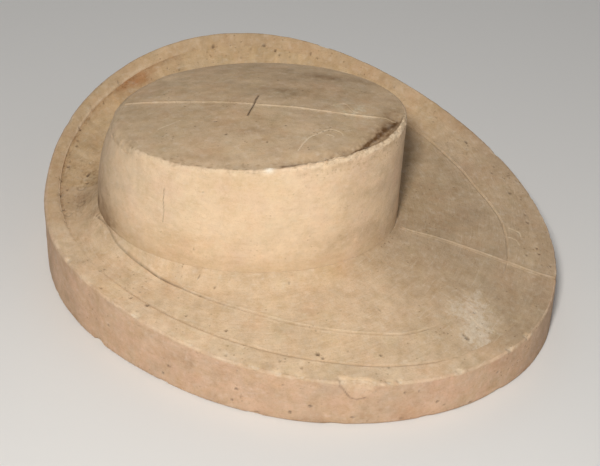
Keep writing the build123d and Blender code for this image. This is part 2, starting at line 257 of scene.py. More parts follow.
def line_distance(points, line):
    """Signed distance to a run of straight pieces, and share of the way along it."""
    best = np.full(len(points), 1e9)
    along, side = np.zeros(len(points)), np.zeros(len(points))
    line = np.array(line, float)
    lengths = np.hypot(*(line[1:] - line[:-1]).T)
    starts = np.concatenate([[0], np.cumsum(lengths)])
    for k in range(len(line) - 1):
        step, offset = line[k + 1] - line[k], points[:, :2] - line[k]
        share = np.clip((offset @ step) / (step @ step), 0, 1)
        offset = offset - share[:, None] * step
        distance = np.hypot(*offset.T)
        closer = distance < best
        best = np.where(closer, distance, best)
        along = np.where(closer, (starts[k] + share * lengths[k]) / starts[-1], along)
        hand = np.sign(step[0] * offset[:, 1] - step[1] * offset[:, 0])
        side = np.where(closer, hand, side)
    return best * side, along


def soft_line(points):
    """Smooth run through the points, six steps to each span."""
    line = np.array(points, float)
    line = np.vstack([2 * line[0] - line[1], line, 2 * line[-1] - line[-2]])
    run = [catmull_rom(*line[i:i + 4], k / 6) for i in range(len(line) - 3) for k in range(6)]
    return np.array(run + [line[-2]])


def scribe(flat, line, width, depth, ridge=0.25, wander=0.2, seed=3):
    """A scratched V line with a faint burr on each side: height change and groove share."""
    offset = np.abs(line_distance(flat, line)[0] + wander * lumps(flat, 22, 2, seed))
    groove = np.clip(1 - offset / (width / 2), 0, 1)
    burr = bell(offset - width * 0.72, width * 0.3)
    return -depth * groove ** 1.3 + ridge * depth * burr, groove


def scratches(flat, table, seed, **cut):
    """Height change and light share of a table of (brightness, points)."""
    lift, light = np.zeros(len(flat)), np.zeros(len(flat))
    for k, (bright, line) in enumerate(table):
        change, groove = scribe(flat, soft_line(line), 1.3, seed=seed + k, **cut)
        lift += change
        light = np.maximum(light, bright * groove)
    return lift, light


# ---------------------------------------------------------------- marks, in mm
# scribed lines, as x, y points
RING_LINE = soft_line([                         # round the brim, from the left by the near side
    (-99.5, -44), (-94, -49), (-88.6, -54.8), (-83, -61.6), (-76.5, -68), (-64.7, -76.5),
    (-52.2, -83.6), (-39.8, -89.9), (-24.9, -95.5), (-9.2, -100.3), (3.2, -103.3), (14.8, -105.2),
    (28.9, -106.8), (45.8, -108.3), (58.9, -108.3), (75, -106.9), (90.6, -104), (105.9, -99.6),
    (121, -94), (129.7, -88.3), (139.2, -80.3), (151, -69.5), (161, -55), (169, -38),
    (174, -18), (175.6, -4), (174.8, 8.1), (172.8, 17.9), (170.2, 27.1), (165.3, 38.6),
    (158.6, 48.5), (150.5, 58), (140.8, 67.8), (130, 79.6), (118.6, 89.5), (102.9, 102.2),
    (87.5, 111.7), (76, 118),
])
SHORT_LINE = soft_line([(59.6, -100.6), (69.7, -99), (77.1, -97)])
CENTRE_LINE = soft_line([                       # across the brim, from the crown's right end
    (102, -0.9), (107, -0.3), (122.4, 1.4), (144.4, 1.8), (160.1, 1.6), (179, 0.8),
    (191.6, 0.2), (207.3, 0.1), (211, 0.1),
])
CROWN_LINE = soft_line([                        # along the crown's top
    (-100.5, -2.4), (-97.3, -2.3), (-84.4, -1.7), (-69.7, -1.8), (-42.4, -2), (-29.4, -1.3),
    (-9, -1.7), (4.2, -2), (27.1, -1.5), (43.6, -2), (66.2, -1.6), (81.8, 0.6),
    (90.2, 2.3), (95.7, 3.5), (100.5, 3),
])
CROWN_TICK = soft_line([(-2.6, 11.5), (-2.7, 5), (-2.1, -4), (-2.2, -11), (-2, -17.4)])
CREVICE = soft_line([                           # inside the crown's near right edge
    (37, -72.4), (45.5, -69.4), (53.5, -65.5), (63.4, -58.9), (71.3, -51.4), (76.9, -45.3),
    (82.5, -35.6), (86.9, -25.6), (89.6, -17), (92.6, -9.2), (95.2, -2.5), (95.6, 1.5),
]) * 0.968

PITS = [  # x, y, radius, depth
    (-53.7, -110.3, 1.3, 1.2), (-41, -114.1, 1.6, 1.5), (14.9, -124.4, 1.2, 1),
    (75.5, -126.9, 1.5, 1.6), (79.2, -129, 1.1, 1.2), (113.2, -114.4, 1.1, 1),
    (-82.4, -89.3, 1.1, 0.9), (-80.2, -87.5, 0.9, 0.8), (-75.5, -106.1, 1.1, 0.9),
    (20.6, -143.8, 0.9, 0.8), (54.2, -139, 0.9, 0.8), (68.6, -140.3, 1, 0.8),
    (-13.4, -118.4, 0.9, 0.7), (-2.4, -92.3, 0.9, 0.7), (-9.9, -100.4, 1.1, 1),
    (43.7, -78.5, 0.8, 0.5), (104.8, -80.3, 0.9, 0.6), (163, -55, 1.1, 0.8),
    (-78.3, 152.9, 1.9, 1.4), (-81.4, 148.2, 1.3, 1), (-30.6, 159.9, 2, 1.5),
    (-26.6, 157.8, 1.5, 1.3), (-19.7, 160.3, 1, 0.8), (-18.6, 157, 1.1, 0.8),
    (-2.9, 160.6, 1.5, 1.1), (2.8, 158.6, 1.2, 1), (-55.1, 151.1, 1, 0.7),
    (-49.5, 157.6, 1.1, 0.8), (-107.3, 128.6, 1.3, 1.1), (-98.5, 130.5, 1.4, 1.1),
    (-89.9, 139.5, 1.1, 0.9), (-128.3, 109.6, 1.1, 0.9), (-138.5, 104.1, 1.3, 1),
    (-143.6, 85.6, 1.1, 0.8), (-151.7, 56.7, 1.1, 0.9), (-148.3, 40.9, 1.2, 0.9),
    (-149.5, 46.3, 1, 0.8), (-147.1, 20, 1.3, 1), (-147.7, 25.3, 1, 0.8),
    (-127.4, 5.8, 1.3, 0.9), (-147.5, 5.1, 1.1, 0.9), (-141.6, -10.7, 1.3, 0.9),
    (-138.9, -3.6, 1, 0.8), (-102.2, -41, 1, 0.5), (102.1, 124.5, 1, 0.8),
    (100.7, 120.6, 1.1, 0.9), (129.7, 105.1, 1.2, 0.9), (122, 108.4, 1, 0.8),
    (151.3, 91.3, 1.2, 0.9), (150.9, 84.8, 1.4, 1.1), (166.5, 70, 1.2, 1),
    (168.4, 83.5, 0.9, 0.7), (183.2, 46.5, 1.2, 1), (180.4, 53.6, 0.9, 0.7),
    (192.9, 24.1, 1, 0.8), (195.1, 19.4, 0.9, 0.7), (204.2, 11.1, 1, 0.8),
    (187.3, 14.4, 1, 0.8), (120, -122, 0.8, 0.6), (-126, -41, 1, 0.8),
    (-133, -26, 1.1, 0.9), (24, 157, 1.1, 0.9), (66, 143, 1.1, 0.9),
]
SLOT_PITS = [  # x, y, half length, half width, turn, depth
    (161.3, -78.3, 3.4, 1.25, -38, 2.6), (-129.9, 15.5, 3, 1, 84, 1.4),
    (-99.8, -43.6, 1.6, 0.8, -42, 0.5), (-40, 161.2, 1.7, 0.7, 4, 0.8),
    (127.7, 107.8, 2, 0.9, -50, 0.9), (-14.4, -88, 1.8, 0.5, 65, 0.22),
]
SUNK_RINGS = [(-129.6, 0, 2.6), (-122, -20, 2.6), (-127.4, -31, 2.3)]  # x, y, radius
SCRATCHES = [  # brightness, x y points
    (0.8, [(141.5, -47.5), (144.4, -51), (146.5, -56.4)]),
    (0.8, [(164, -41.1), (166.5, -34), (166.5, -28)]),
    (1.2, [(171.5, 34.5), (178.5, 33.5), (180.5, 30)]),
    (1.2, [(172.5, 25.5), (178, 25), (181, 21.5)]),
    (0.8, [(150, -38), (158, -44), (161, -52)]),
    (0.8, [(161, -60), (168, -66), (178, -66)]),
]


def scatter_fine_pits():
    """Sixty small pits between the crown's foot and the rim: x, y, radius, depth."""
    rng = np.random.default_rng(7)
    pits = []
    for _ in range(60):
        deg, share = rng.uniform(-180, 180), rng.uniform(0, 1)
        foot = foot_radius(deg)
        radius = foot + 4 + (station(deg, RADIUS) - foot - 7) * math.sqrt(share)
        pits.append((*polar(deg, radius), rng.uniform(0.6, 0.9), rng.uniform(0.2, 0.45)))
    return pits


FINE_PITS = scatter_fine_pits()


# ---------------------------------------------------------------- brim details
def ring_radius(deg):
    """Radius of the scribed ring; past its ends, halfway between the foot and the land."""
    foot = foot_radius(deg)
    middle = foot + 0.5 * (land_radius(deg) - foot)
    share = span(deg, -180, -157, 58, 82)
    ring = np.interp(deg, bearing(*RING_LINE.T), np.hypot(*RING_LINE.T))
    return np.maximum(ring * share + middle * (1 - share), foot + 3.6)


def soft_side(deg):
    """1 where the rim is a soft rolled lip, 0 along the sharper near side."""
    return span(deg, 15, 60, -172, -128)


def land_step(deg):
    """How far the brim lies below the land, where the lip stands up on the left."""
    return STEP * span(deg, 120, 150, -172, -146)


def seam_depth(deg):
    """Depth of the seam between the brim and the land."""
    return 0.05 + (0.16 * ease(-175, -160, deg)
                   + 0.56 * ease(-138, -112, deg)) * (1 - ease(-42, -26, deg))


def brim_details(x, y):
    """Height changes on the brim and its land, with dark and light shares for colour."""
    flat = stack(x, y, 0)
    deg, radius = bearing(x, y), np.hypot(x, y)
    lift = relief(flat, (0.55, 85, 2, 11), (0.26, 26, 3, 12), (0.08, 6, 3, 13))
    # the scribed ring, nearly gone on the near right; its groove carries painted shade with some dirt,
    # and a painted highlight runs along its lit edge
    far, left = ease(-6, 4, deg), 1 - ease(-112, -84, deg)
    strength = ((1 - 0.97 * span(deg, -35, -29, -8, 4)) * (1 - 0.35 * ease(35, 56, deg))
                * (1 - 0.35 * far) * (1 - 0.35 * (1 - ease(-135, -112, deg))))
    cut, groove = scribe(flat, RING_LINE, 1.7, 0.95, wander=0.12)
    lift += cut * strength
    # painted shade, with some dirt, in the ring's groove
    dark = groove * strength * (0.26 + 0.50 * left - 0.14 * far)
    from_ring = radius - ring_radius(deg)
    # painted highlight along the ring's lit edge
    lit = bell(from_ring + 1.1, 0.8) * (1 - left) * (1 - far) + far * bell(from_ring - 0.2, 0.9)
    lit *= span(deg, -160, -150, 54, 60) * strength
    light = 0.36 * lit * patchy(flat, (17, 3, 15), 0.75, 1.3, 1.2, low=0.1)
    # a low ledge: the band outside the ring stands a little proud on the right
    lift += 0.35 * far * (1 - ease(60, 80, deg)) * ease(-1.0, 1.0, from_ring)
    cut, groove = scribe(flat, SHORT_LINE, 1.2, 0.35)
    lift += cut
    light = np.maximum(light, 0.35 * groove)
    # the centre line has one lit and one shaded flank
    lift += scribe(flat, CENTRE_LINE, 1.5, 0.85, ridge=0.5, wander=0.1)[0]
    offset, along = line_distance(flat, CENTRE_LINE)
    start = ease(0.0, 0.06, along)
    lit = 0.46 * bell(offset - 0.7, 0.55) * start * (along < 0.995)
    light = np.maximum(light, lit * patchy(flat, (9, 3, 16), 0.7, 1.4, 1.2, low=0.1))
    dark = np.maximum(dark, 0.60 * bell(offset + 0.25, 0.5) * start)
    for pit_x, pit_y, size, depth in PITS + FINE_PITS:
        if pit_y > 80:
            size, depth = 0.60 * size, 0.8 * depth
        hollow = np.clip(1 - (np.hypot(x - pit_x, y - pit_y) / size) ** 2.2, 0, 1)
        lift -= depth * hollow ** 0.7
        dark = np.maximum(dark, hollow ** 0.5 * min(1.0, 0.22 + depth * 0.55))
    for pit_x, pit_y, half_long, half_wide, turn, depth in SLOT_PITS:
        along, across = turned(flat, pit_x, pit_y, turn)
        hollow = np.clip(1 - np.hypot(along / half_long, across / half_wide) ** 2, 0, 1)
        lift -= depth * hollow ** 0.7
        dark = np.maximum(dark, hollow ** 0.4 * min(1.0, 0.55 + 0.25 * depth))
    for ring_x, ring_y, size in SUNK_RINGS:
        distance = np.hypot(x - ring_x, y - ring_y)
        ring = bell(distance - size, 0.7)
        lift -= 0.4 * ring + 0.2 * (distance < size)
        dark = np.maximum(dark, 0.32 * ring)
    cut, bright = scratches(flat, SCRATCHES, seed=40, depth=0.25)
    lift += cut
    light = np.maximum(light, bright)
    # a worn patch on the near right
    worn = np.clip(blob(flat, 160, -60, 22, 27, -20) * 1.15
                   + 0.60 * lumps(flat, 15, 4, 21) - 0.26, 0, 1)
    lift -= 0.22 * worn * (0.5 + 0.5 * lumps(flat, 3.2, 3, 22))
    # tool marks round the crown's foot, strongest on the near side
    from_foot = radius - foot_radius(deg)
    marks = bell(from_foot - 9, 8.0) * (0.25 + 0.75 * span(deg, -165, -140, -40, -5))
    round_foot = stack(from_foot, np.radians(deg) * radius / 8.0, 0)
    lift += marks * 0.30 * lumps(round_foot, 3.4, 3, 24, 0.6)
    return lift, dark, light


# ---------------------------------------------------------------- colour
def srgb(*rgb):
    """Linear colour from display values of 0 to 255."""
    value = np.array(rgb, float) / 255
    return np.where(value <= 0.04045, value / 12.92, ((value + 0.055) / 1.055) ** 2.4)


def coat(colour, *layers):
    """Lay (colour, share) layers over a colour; None for a colour scales the tone by 1 + share."""
    for layer, share in layers:
        if layer is None:
            colour = colour * (1 + share)[:, None]
        else:
            share = np.clip(share, 0, 1)[:, None]
            colour = colour * (1 - share) + layer * share
    return colour


GREY = srgb(203, 177, 145)
BROWN = srgb(128, 94, 60)
WHITE = srgb(238, 224, 200)
SHELL_TONE = srgb(226, 199, 166)
WALL_TONE = srgb(210, 178, 150)
PALE = srgb(228, 205, 174)
# pale of scratches, also used for painted highlights along the scribed lines
PALE_SCRATCH_AND_HIGHLIGHT = srgb(232, 212, 180)
OCHRE = srgb(196, 160, 104)
DARK = srgb(58, 40, 26)


def mottle(points, base, seed, amount=1.0, squash=(1, 1, 1)):
    """Slow and middling changes of tone over a plaster face."""
    tone = relief(points, (0.11, 90, 3, seed + 1, 0.5, squash),
                  (0.19, 24, 4, seed + 2, 0.6, squash), (0.15, 6.5, 3, seed + 3, 0.6, squash))
    warm = patchy(points, (46, 4, seed + 4, 0.6), 0.10, 0.55) * amount
    pink = patchy(points, (34, 4, seed + 6, 0.6), -0.02, 0.9) * amount
    chalk = patchy(points, (30, 5, seed + 5, 0.65), -0.15, 1.4) * amount
    return coat(base, (None, amount * tone), (base * np.array([0.95, 0.84, 0.66]), 0.50 * warm),
                (base * np.array([1.02, 0.90, 0.86]), 0.60 * pink), (WHITE * 0.92, 0.22 * chalk))


def by_side(deg, left, near, right, far):
    """Base colour round the brim, from the colours of its four sides."""
    return coat(left, (near, near_side(deg)), (right, right_side(deg)), (far, 0.8 * far_side(deg)))


def near_side(deg):
    return span(deg, -178, -150, -40, -5)


def right_side(deg):
    return span(deg, -45, -5, 30, 75)


def far_side(deg):
    return ease(35, 80, deg)


# ---------------------------------------------------------------- mesh building
def add_piece(name, points, quads, paint, chalk, grime_and_shade, material, part, node, slot, triangles=()):
    """Build a closed mesh that takes the place of a CAD node."""
    mesh = bpy.data.meshes.new(name)
    points = np.asarray(points, np.float64) * MM
    triangles = np.asarray(triangles, np.int64).reshape(-1, 3)
    # outward faces give a positive volume
    split = np.vstack([quads[:, :3], quads[:, [0, 2, 3]], triangles])
    first, second, third = points[split.T]
    if (first * np.cross(second, third)).sum() < 0:
        quads, triangles = quads[:, ::-1], triangles[:, ::-1]
    corners = np.concatenate([quads.ravel(), triangles.ravel()])
    starts = np.concatenate([np.arange(len(quads)) * 4,
                             4 * len(quads) + np.arange(len(triangles)) * 3])
    mesh.vertices.add(len(points))
    mesh.vertices.foreach_set("co", points.astype(np.float32).ravel())
    mesh.loops.add(len(corners))
    mesh.loops.foreach_set("vertex_index", corners.astype(np.int32))
    mesh.polygons.add(len(starts))
    mesh.polygons.foreach_set("loop_start", starts.astype(np.int32))
    mesh.update(calc_edges=True)
    mesh.validate()
    colours = np.column_stack([np.clip(paint, 0.005, 1), np.ones(len(points))])
    layer = mesh.color_attributes.new("paint", "FLOAT_COLOR", "POINT")
    layer.data.foreach_set("color", colours.astype(np.float32).ravel())
    for key, values in (("chalk", chalk), ("grime_and_shade", grime_and_shade)):
        values = np.clip(values, 0, 1) + np.zeros(len(points))
        layer = mesh.attributes.new(key, "FLOAT", "POINT")
        layer.data.foreach_set("value", values.astype(np.float32))
    mesh.shade_smooth()
    mesh.set_sharp_from_angle(angle=math.radians(50))
    piece = bpy.data.objects.new(name, mesh)
    bpy.context.scene.collection.objects.link(piece)
    mesh.materials.append(material)
    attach(piece, part)
    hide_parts(node)


def add_rings(name, count, points, paint, chalk, grime_and_shade, **rest):
    """A piece from closed rings of count points each, the rings following a closed profile."""
    order = np.arange(len(points)).reshape(-1, count).T
    index = np.arange(len(points)).reshape(order.shape)
    turned_on = np.roll(index, -1, 0)
    quads = np.stack([index, turned_on, np.roll(turned_on, -1, 1), np.roll(index, -1, 1)], -1)
    order = order.ravel()
    add_piece(name, points[order], quads.reshape(-1, 4), paint[order], chalk[order],
              grime_and_shade[order], **rest)


def even_angles(count, radius, closeness=lambda deg: 0):
    """Bearings in even steps along a closed curve radius(deg), closer where closeness is high."""
    deg = np.linspace(-180, 180, 14401)
    x, y = polar(deg, radius(deg))
    step = np.hypot(np.diff(x), np.diff(y)) * (1 + closeness((deg[1:] + deg[:-1]) / 2))
    travel = np.concatenate([[0], np.cumsum(step)])
    return np.interp(np.arange(count) / count * travel[-1], travel, deg)


# ---------------------------------------------------------------- materials
class Graph:
    """A new material's node tree, with short ways to add nodes."""

    def __init__(self, name, bare=False):
        self.material = bpy.data.materials.new(name)
        self.material.use_nodes = True
        self.tree = self.material.node_tree
        if bare:
            self.tree.nodes.clear()
            output, self.shader = self.add("OutputMaterial"), self.add("BsdfPrincipled")
            self.feed(output.inputs["Surface"], self.shader.outputs["BSDF"])
        else:
            self.shader = self.tree.nodes["Principled BSDF"]
        self.coord = self.add("TexCoord").outputs["Object"]

    def feed(self, socket, value):
        """Link a socket, or set it to a plain value."""
        if isinstance(value, bpy.types.NodeSocket):
            self.tree.links.new(value, socket)
        else:
            socket.default_value = value

    def add(self, kind, inputs=None, **settings):
        node = self.tree.nodes.new("ShaderNode" + kind)
        for key, value in settings.items():
            setattr(node, key, value)
        for key, value in (inputs or {}).items():
            self.feed(node.inputs[key], value)
        return node

    def surface(self, **inputs):
        for key, value in inputs.items():
            self.feed(self.shader.inputs[key.replace("_", " ")], value)

    def noise(self, scale, detail, roughness=0.5, distortion=0.0, vector=None):
        inputs = {"Scale": scale, "Detail": detail, "Roughness": roughness,
                  "Distortion": distortion, "Vector": vector or self.coord}
        return self.add("TexNoise", inputs).outputs["Fac"]

    def remap(self, value, from_min, from_max, to_min, to_max):
        inputs = {"From Min": from_min, "From Max": from_max, "To Min": to_min,
                  "To Max": to_max, "Value": value}
        return self.add("MapRange", inputs).outputs["Result"]

    def math(self, operation, first, second=0.0):
        return self.add("Math", {0: first, 1: second}, operation=operation).outputs[0]

    def mix(self, blend, share, under, colour):
        inputs = {0: share, 6: under, 7: (*colour, 1)}
        return self.add("Mix", inputs, data_type="RGBA", blend_type=blend).outputs[2]

    def shifted(self, by):
        """Object coordinates moved, so that two noises of one scale differ."""
        node = self.add("VectorMath", {0: self.coord}, operation="ADD")
        node.inputs[1].default_value = (by, by * 0.7, by * 1.3)
        return node.outputs[0]

    def attribute(self, key, output="Fac"):
        return self.add("Attribute", attribute_name=key).outputs[output]

    def ramp(self, share, low, high, start=0.0, end=1.0):
        node = self.add("ValToRGB", {"Fac": share})
        for element, place, colour in zip(node.color_ramp.elements, (start, end), (low, high)):
            element.position, element.color = place, (*colour, 1)
        return node.outputs["Color"]

    def bump(self, height, distance, strength=1.0):
        inputs = {"Strength": strength, "Distance": distance, "Height": height}
        self.surface(Normal=self.add("Bump", inputs).outputs["Normal"])


def stroke_frame(graph):
    """Coordinates drawn out round the Z axis, for scraping and brushing strokes."""
    math_node = graph.math
    axes = graph.add("SeparateXYZ", {0: graph.coord}).outputs
    turn = math_node("ARCTAN2", axes["Y"], axes["X"])
    plan = math_node("SQRT", math_node("ADD", math_node("MULTIPLY", axes["X"], axes["X"]),
                                       math_node("MULTIPLY", axes["Y"], axes["Y"])))
    inputs = {"X": math_node("MULTIPLY", plan, 9.0), "Y": math_node("MULTIPLY", turn, 0.12),
              "Z": math_node("MULTIPLY", axes["Z"], 7.0)}
    return graph.add("CombineXYZ", inputs).outputs[0]


def plaster(name, grain=1.0, pores=1.0, rough=0.86, strokes=1.0, colour=None):
    """Aged plaster. Broad colour comes from the paint attribute, or from one given colour.
    The chalk attribute says where specks gather, and the second attribute where dirt and painted shade
    darken the plaster; the other arguments are strengths, except rough, the middle roughness."""
    graph = Graph(name, bare=True)
    noise_node, remap, math_node, mix = graph.noise, graph.remap, graph.math, graph.mix
    strokes_at = stroke_frame(graph)
    if colour is None:
        base = graph.attribute("paint", "Color")
        chalk, grime_and_shade = graph.attribute("chalk"), graph.attribute("grime_and_shade")
    else:
        plain_colour = graph.add("RGB").outputs[0]
        plain_colour.default_value = (*colour, 1)
        cloud = remap(noise_node(22, 5, 0.6), 0.3, 0.7, 0.0, 1.0)
        base = mix("MIX", cloud, plain_colour, colour * np.array([0.72, 0.66, 0.58]))
        chalk, grime_and_shade = math_node("ADD", 0.3), math_node("ADD", 0.4)
    # blend, noise (scale, detail, roughness, distortion, frame), starts at, full at,
    # strength, colour
    tones = (
        ("MULTIPLY", (48, 5, 0.65), 0.50, 0.72, 0.55 * grain, (1.0, 0.90, 0.86)),  # pink
        ("MULTIPLY", (62, 5, 0.65, 0.0, graph.shifted(3.1)), 0.50, 0.72, 0.6 * grain,
         (0.90, 0.93, 0.88)),                                                  # grey-green
        # mottling, coarse to fine
        ("MULTIPLY", (105, 6, 0.7), 0.46, 0.74, 0.85 * grain, (0.84, 0.78, 0.68)),
        ("SCREEN", (250, 5, 0.65), 0.52, 0.76, 0.34 * grain, (0.50, 0.45, 0.38)),
        ("MULTIPLY", (1000, 3, 0.5), 0.50, 0.80, 0.55 * grain, (0.72, 0.66, 0.58)),
        # strokes, dark and light
        ("MULTIPLY", (62, 5, 0.7, 0.35, strokes_at), 0.52, 0.72, 0.50 * strokes,
         (0.80, 0.74, 0.65)),
        ("SCREEN", (78, 4, 0.7, 0.25, strokes_at), 0.56, 0.74, 0.34 * strokes,
         (0.46, 0.42, 0.35)),
    )
    for blend, field, start, full, strength, shade in tones:
        base = mix(blend, remap(noise_node(*field), start, full, 0.0, strength), base, shade)
    # chalky specks where the surface is worn
    speck = math_node("ADD", math_node("MULTIPLY", chalk, 0.62), noise_node(310, 6, 0.72))
    base = mix("MIX", remap(speck, 0.72, 0.90, 0.0, 0.42), base, (0.74, 0.66, 0.54))
    # dirt, with painted shade, in the low places
    spot = math_node("ADD", math_node("MULTIPLY", grime_and_shade, 0.40),
                     noise_node(420, 5, 0.68, vector=graph.shifted(7.7)))
    base = mix("MULTIPLY", remap(spot, 0.72, 0.92, 0.0, 0.62), base, (0.52, 0.42, 0.31))
    # open pores, in scattered groups
    cells = graph.add("TexVoronoi", {"Scale": 300, "Vector": graph.coord})
    groups = math_node("ADD", noise_node(55, 2, 0.5), math_node("MULTIPLY", grime_and_shade, 0.12))
    groups = remap(groups, 0.56, 0.66, 0.0, 1.0)
    pore = math_node("MULTIPLY", remap(cells.outputs["Distance"], 0.10, 0.22, 1.0, 0.0), groups)
    base = mix("MULTIPLY", math_node("MULTIPLY", pore, 0.75 * pores), base, (0.36, 0.28, 0.20))
    roughness = remap(noise_node(140, 4, 0.6), 0.3, 0.7, rough - 0.07, min(1.0, rough + 0.08))
    graph.surface(Base_Color=base, Roughness=roughness, Specular_IOR_Level=0.25)
    # relief: fine and coarse grain, strokes, then pores cut in
    height = math_node("ADD", math_node("MULTIPLY", noise_node(1300, 3, 0.6), 0.35 * grain),
                       math_node("MULTIPLY", noise_node(330, 4, 0.6), 0.8 * grain))
    drag = noise_node(70, 5, 0.7, 0.3, strokes_at)
    height = math_node("ADD", height, math_node("MULTIPLY", drag, 1.1 * strokes))
    height = math_node("SUBTRACT", height, math_node("MULTIPLY", pore, 1.6 * pores))
    graph.bump(height, distance=0.0007, strength=0.6)
    return graph.material


def metal(name, colour, dark, rough):
    graph = Graph(name)
    mapping = graph.add("Mapping", {"Vector": graph.coord}).outputs["Vector"]
    cloud = graph.noise(scale=90, detail=6)
    fine = graph.noise(scale=1400, detail=3, vector=mapping)
    graph.surface(Base_Color=graph.ramp(cloud, dark, colour, start=0.36, end=0.66), Metallic=0.9,
                  Roughness=graph.remap(fine, 0.0, 1.0, rough - 0.1, rough + 0.15))
    graph.bump(fine, distance=0.0002, strength=0.3)
    return graph.material


def hessian(name):
    """Woven threads: bands along all three axes."""
    graph = Graph(name)
    inputs = {"Scale": 95, "Distortion": 1.6, "Detail": 2, "Vector": graph.coord}
    across, along, upright = (graph.add("TexWave", inputs, bands_direction=axis).outputs["Fac"]
                              for axis in "XYZ")
    weave = graph.math("MAXIMUM", graph.math("MAXIMUM", across, along), upright)
    graph.surface(Base_Color=graph.ramp(weave, (0.10, 0.065, 0.03), (0.42, 0.31, 0.18)),
                  Roughness=0.95)
    graph.bump(weave, distance=0.0008)
    return graph.material


MAT_BRIM = plaster("brim_plaster", pores=0.45, strokes=0.9)
MAT_WALL = plaster("wall_plaster", pores=0.55, strokes=0.6)
MAT_CROWN = plaster("crown_plaster", grain=0.7, pores=0.3, rough=0.80, strokes=0.6)
MAT_TOP = plaster("fill_plaster", pores=0.5, rough=0.82, strokes=0.3)
MAT_BACK = plaster("backing_plaster", grain=1.3, pores=1.5, strokes=0.2,
                   colour=srgb(205, 192, 168))
MAT_STEEL = metal("mild_steel", colour=(0.30, 0.28, 0.26), dark=(0.16, 0.10, 0.06), rough=0.5)
MAT_BRASS = metal("dull_brass", colour=(0.62, 0.44, 0.17), dark=(0.30, 0.20, 0.08), rough=0.38)
MAT_HESSIAN = hessian("hessian_weave")


# ---------------------------------------------------------------- brim face
def brim_face_points(count):
    """Rings of the brim's closed section, with dark and light shares."""
    # bearings crowd round the centre line
    deg = even_angles(count, lambda deg: 0.35 * foot_radius(deg) + 0.65 * station(deg, RADIUS),
                      lambda deg: 2.6 * np.exp(-(deg - 0.3) ** 4))
    socket, land = foot_radius(deg) + SOCKET_GAP, land_radius(deg, gap=0.02)
    ring = np.minimum(ring_radius(deg), land - 6.0)
    inside = np.linspace(0, 1, scaled(22), endpoint=False) ** 1.25
    outside = np.linspace(0, 1, scaled(26) + 2)[1:-1]
    radii = np.array(
        [socket + (ring - 2.0 - socket) * share for share in inside]
        + [ring + step for step in (-2.0, -1.4, -0.95, -0.6, -0.3, 0.0, 0.3, 0.6, 0.95, 1.4, 2.0)]
        + [ring + 2.0 + (land - 2.4 - ring - 2.0) * share for share in outside]
        + [land - step for step in (2.4, 1.8, 1.3, 0.95, 0.65, 0.4, 0.2, 0.0)])
    x, y = (values.ravel() for values in polar(deg, radii))
    from_foot, to_land = (radii - foot_radius(deg)).ravel(), (land - radii).ravel()
    deg_all = np.tile(deg, len(radii))
    bare = brim_z(x, y)
    cove = COVE + 8.0 * span(deg_all, 150, 170, -160, -138)
    sweep = np.maximum(foot_z(x) - bare, 0) * np.clip(1 - from_foot / cove, 0, 1) ** 2
    lift, dark, light = brim_details(x, y)
    z = bare + sweep + lift - land_step(deg_all) * np.exp(-np.maximum(to_land - 1.5, 0) / 9.0)
    seam = seam_depth(deg_all) * (1 + 0.3 * lumps(stack(x, y, bare), 14, 2, 5))
    z -= seam * bell(to_land, 0.7)
    top = stack(x, y, z).reshape(len(radii), count, 3)

    def under(radius):
        x, y = polar(deg, radius)
        return stack(x, y, brim_z(x, y) - FACE_COAT)

    # down the outside, along the underside, up the socket wall
    lower = [under(socket + (land - socket) * share) for share in (1, 0.75, 0.5, 0.25, 0)]
    rows = [*top, (top[-1] + lower[0]) / 2, *lower]
    rows += [lower[-1] * (1 - share) + top[0] * share for share in (0.35, 0.7, 0.93)]
    points = np.array(rows).reshape(-1, 3)
    rest = np.zeros(len(points) - len(x))
    return points, np.append(dark, rest), np.append(light, rest)


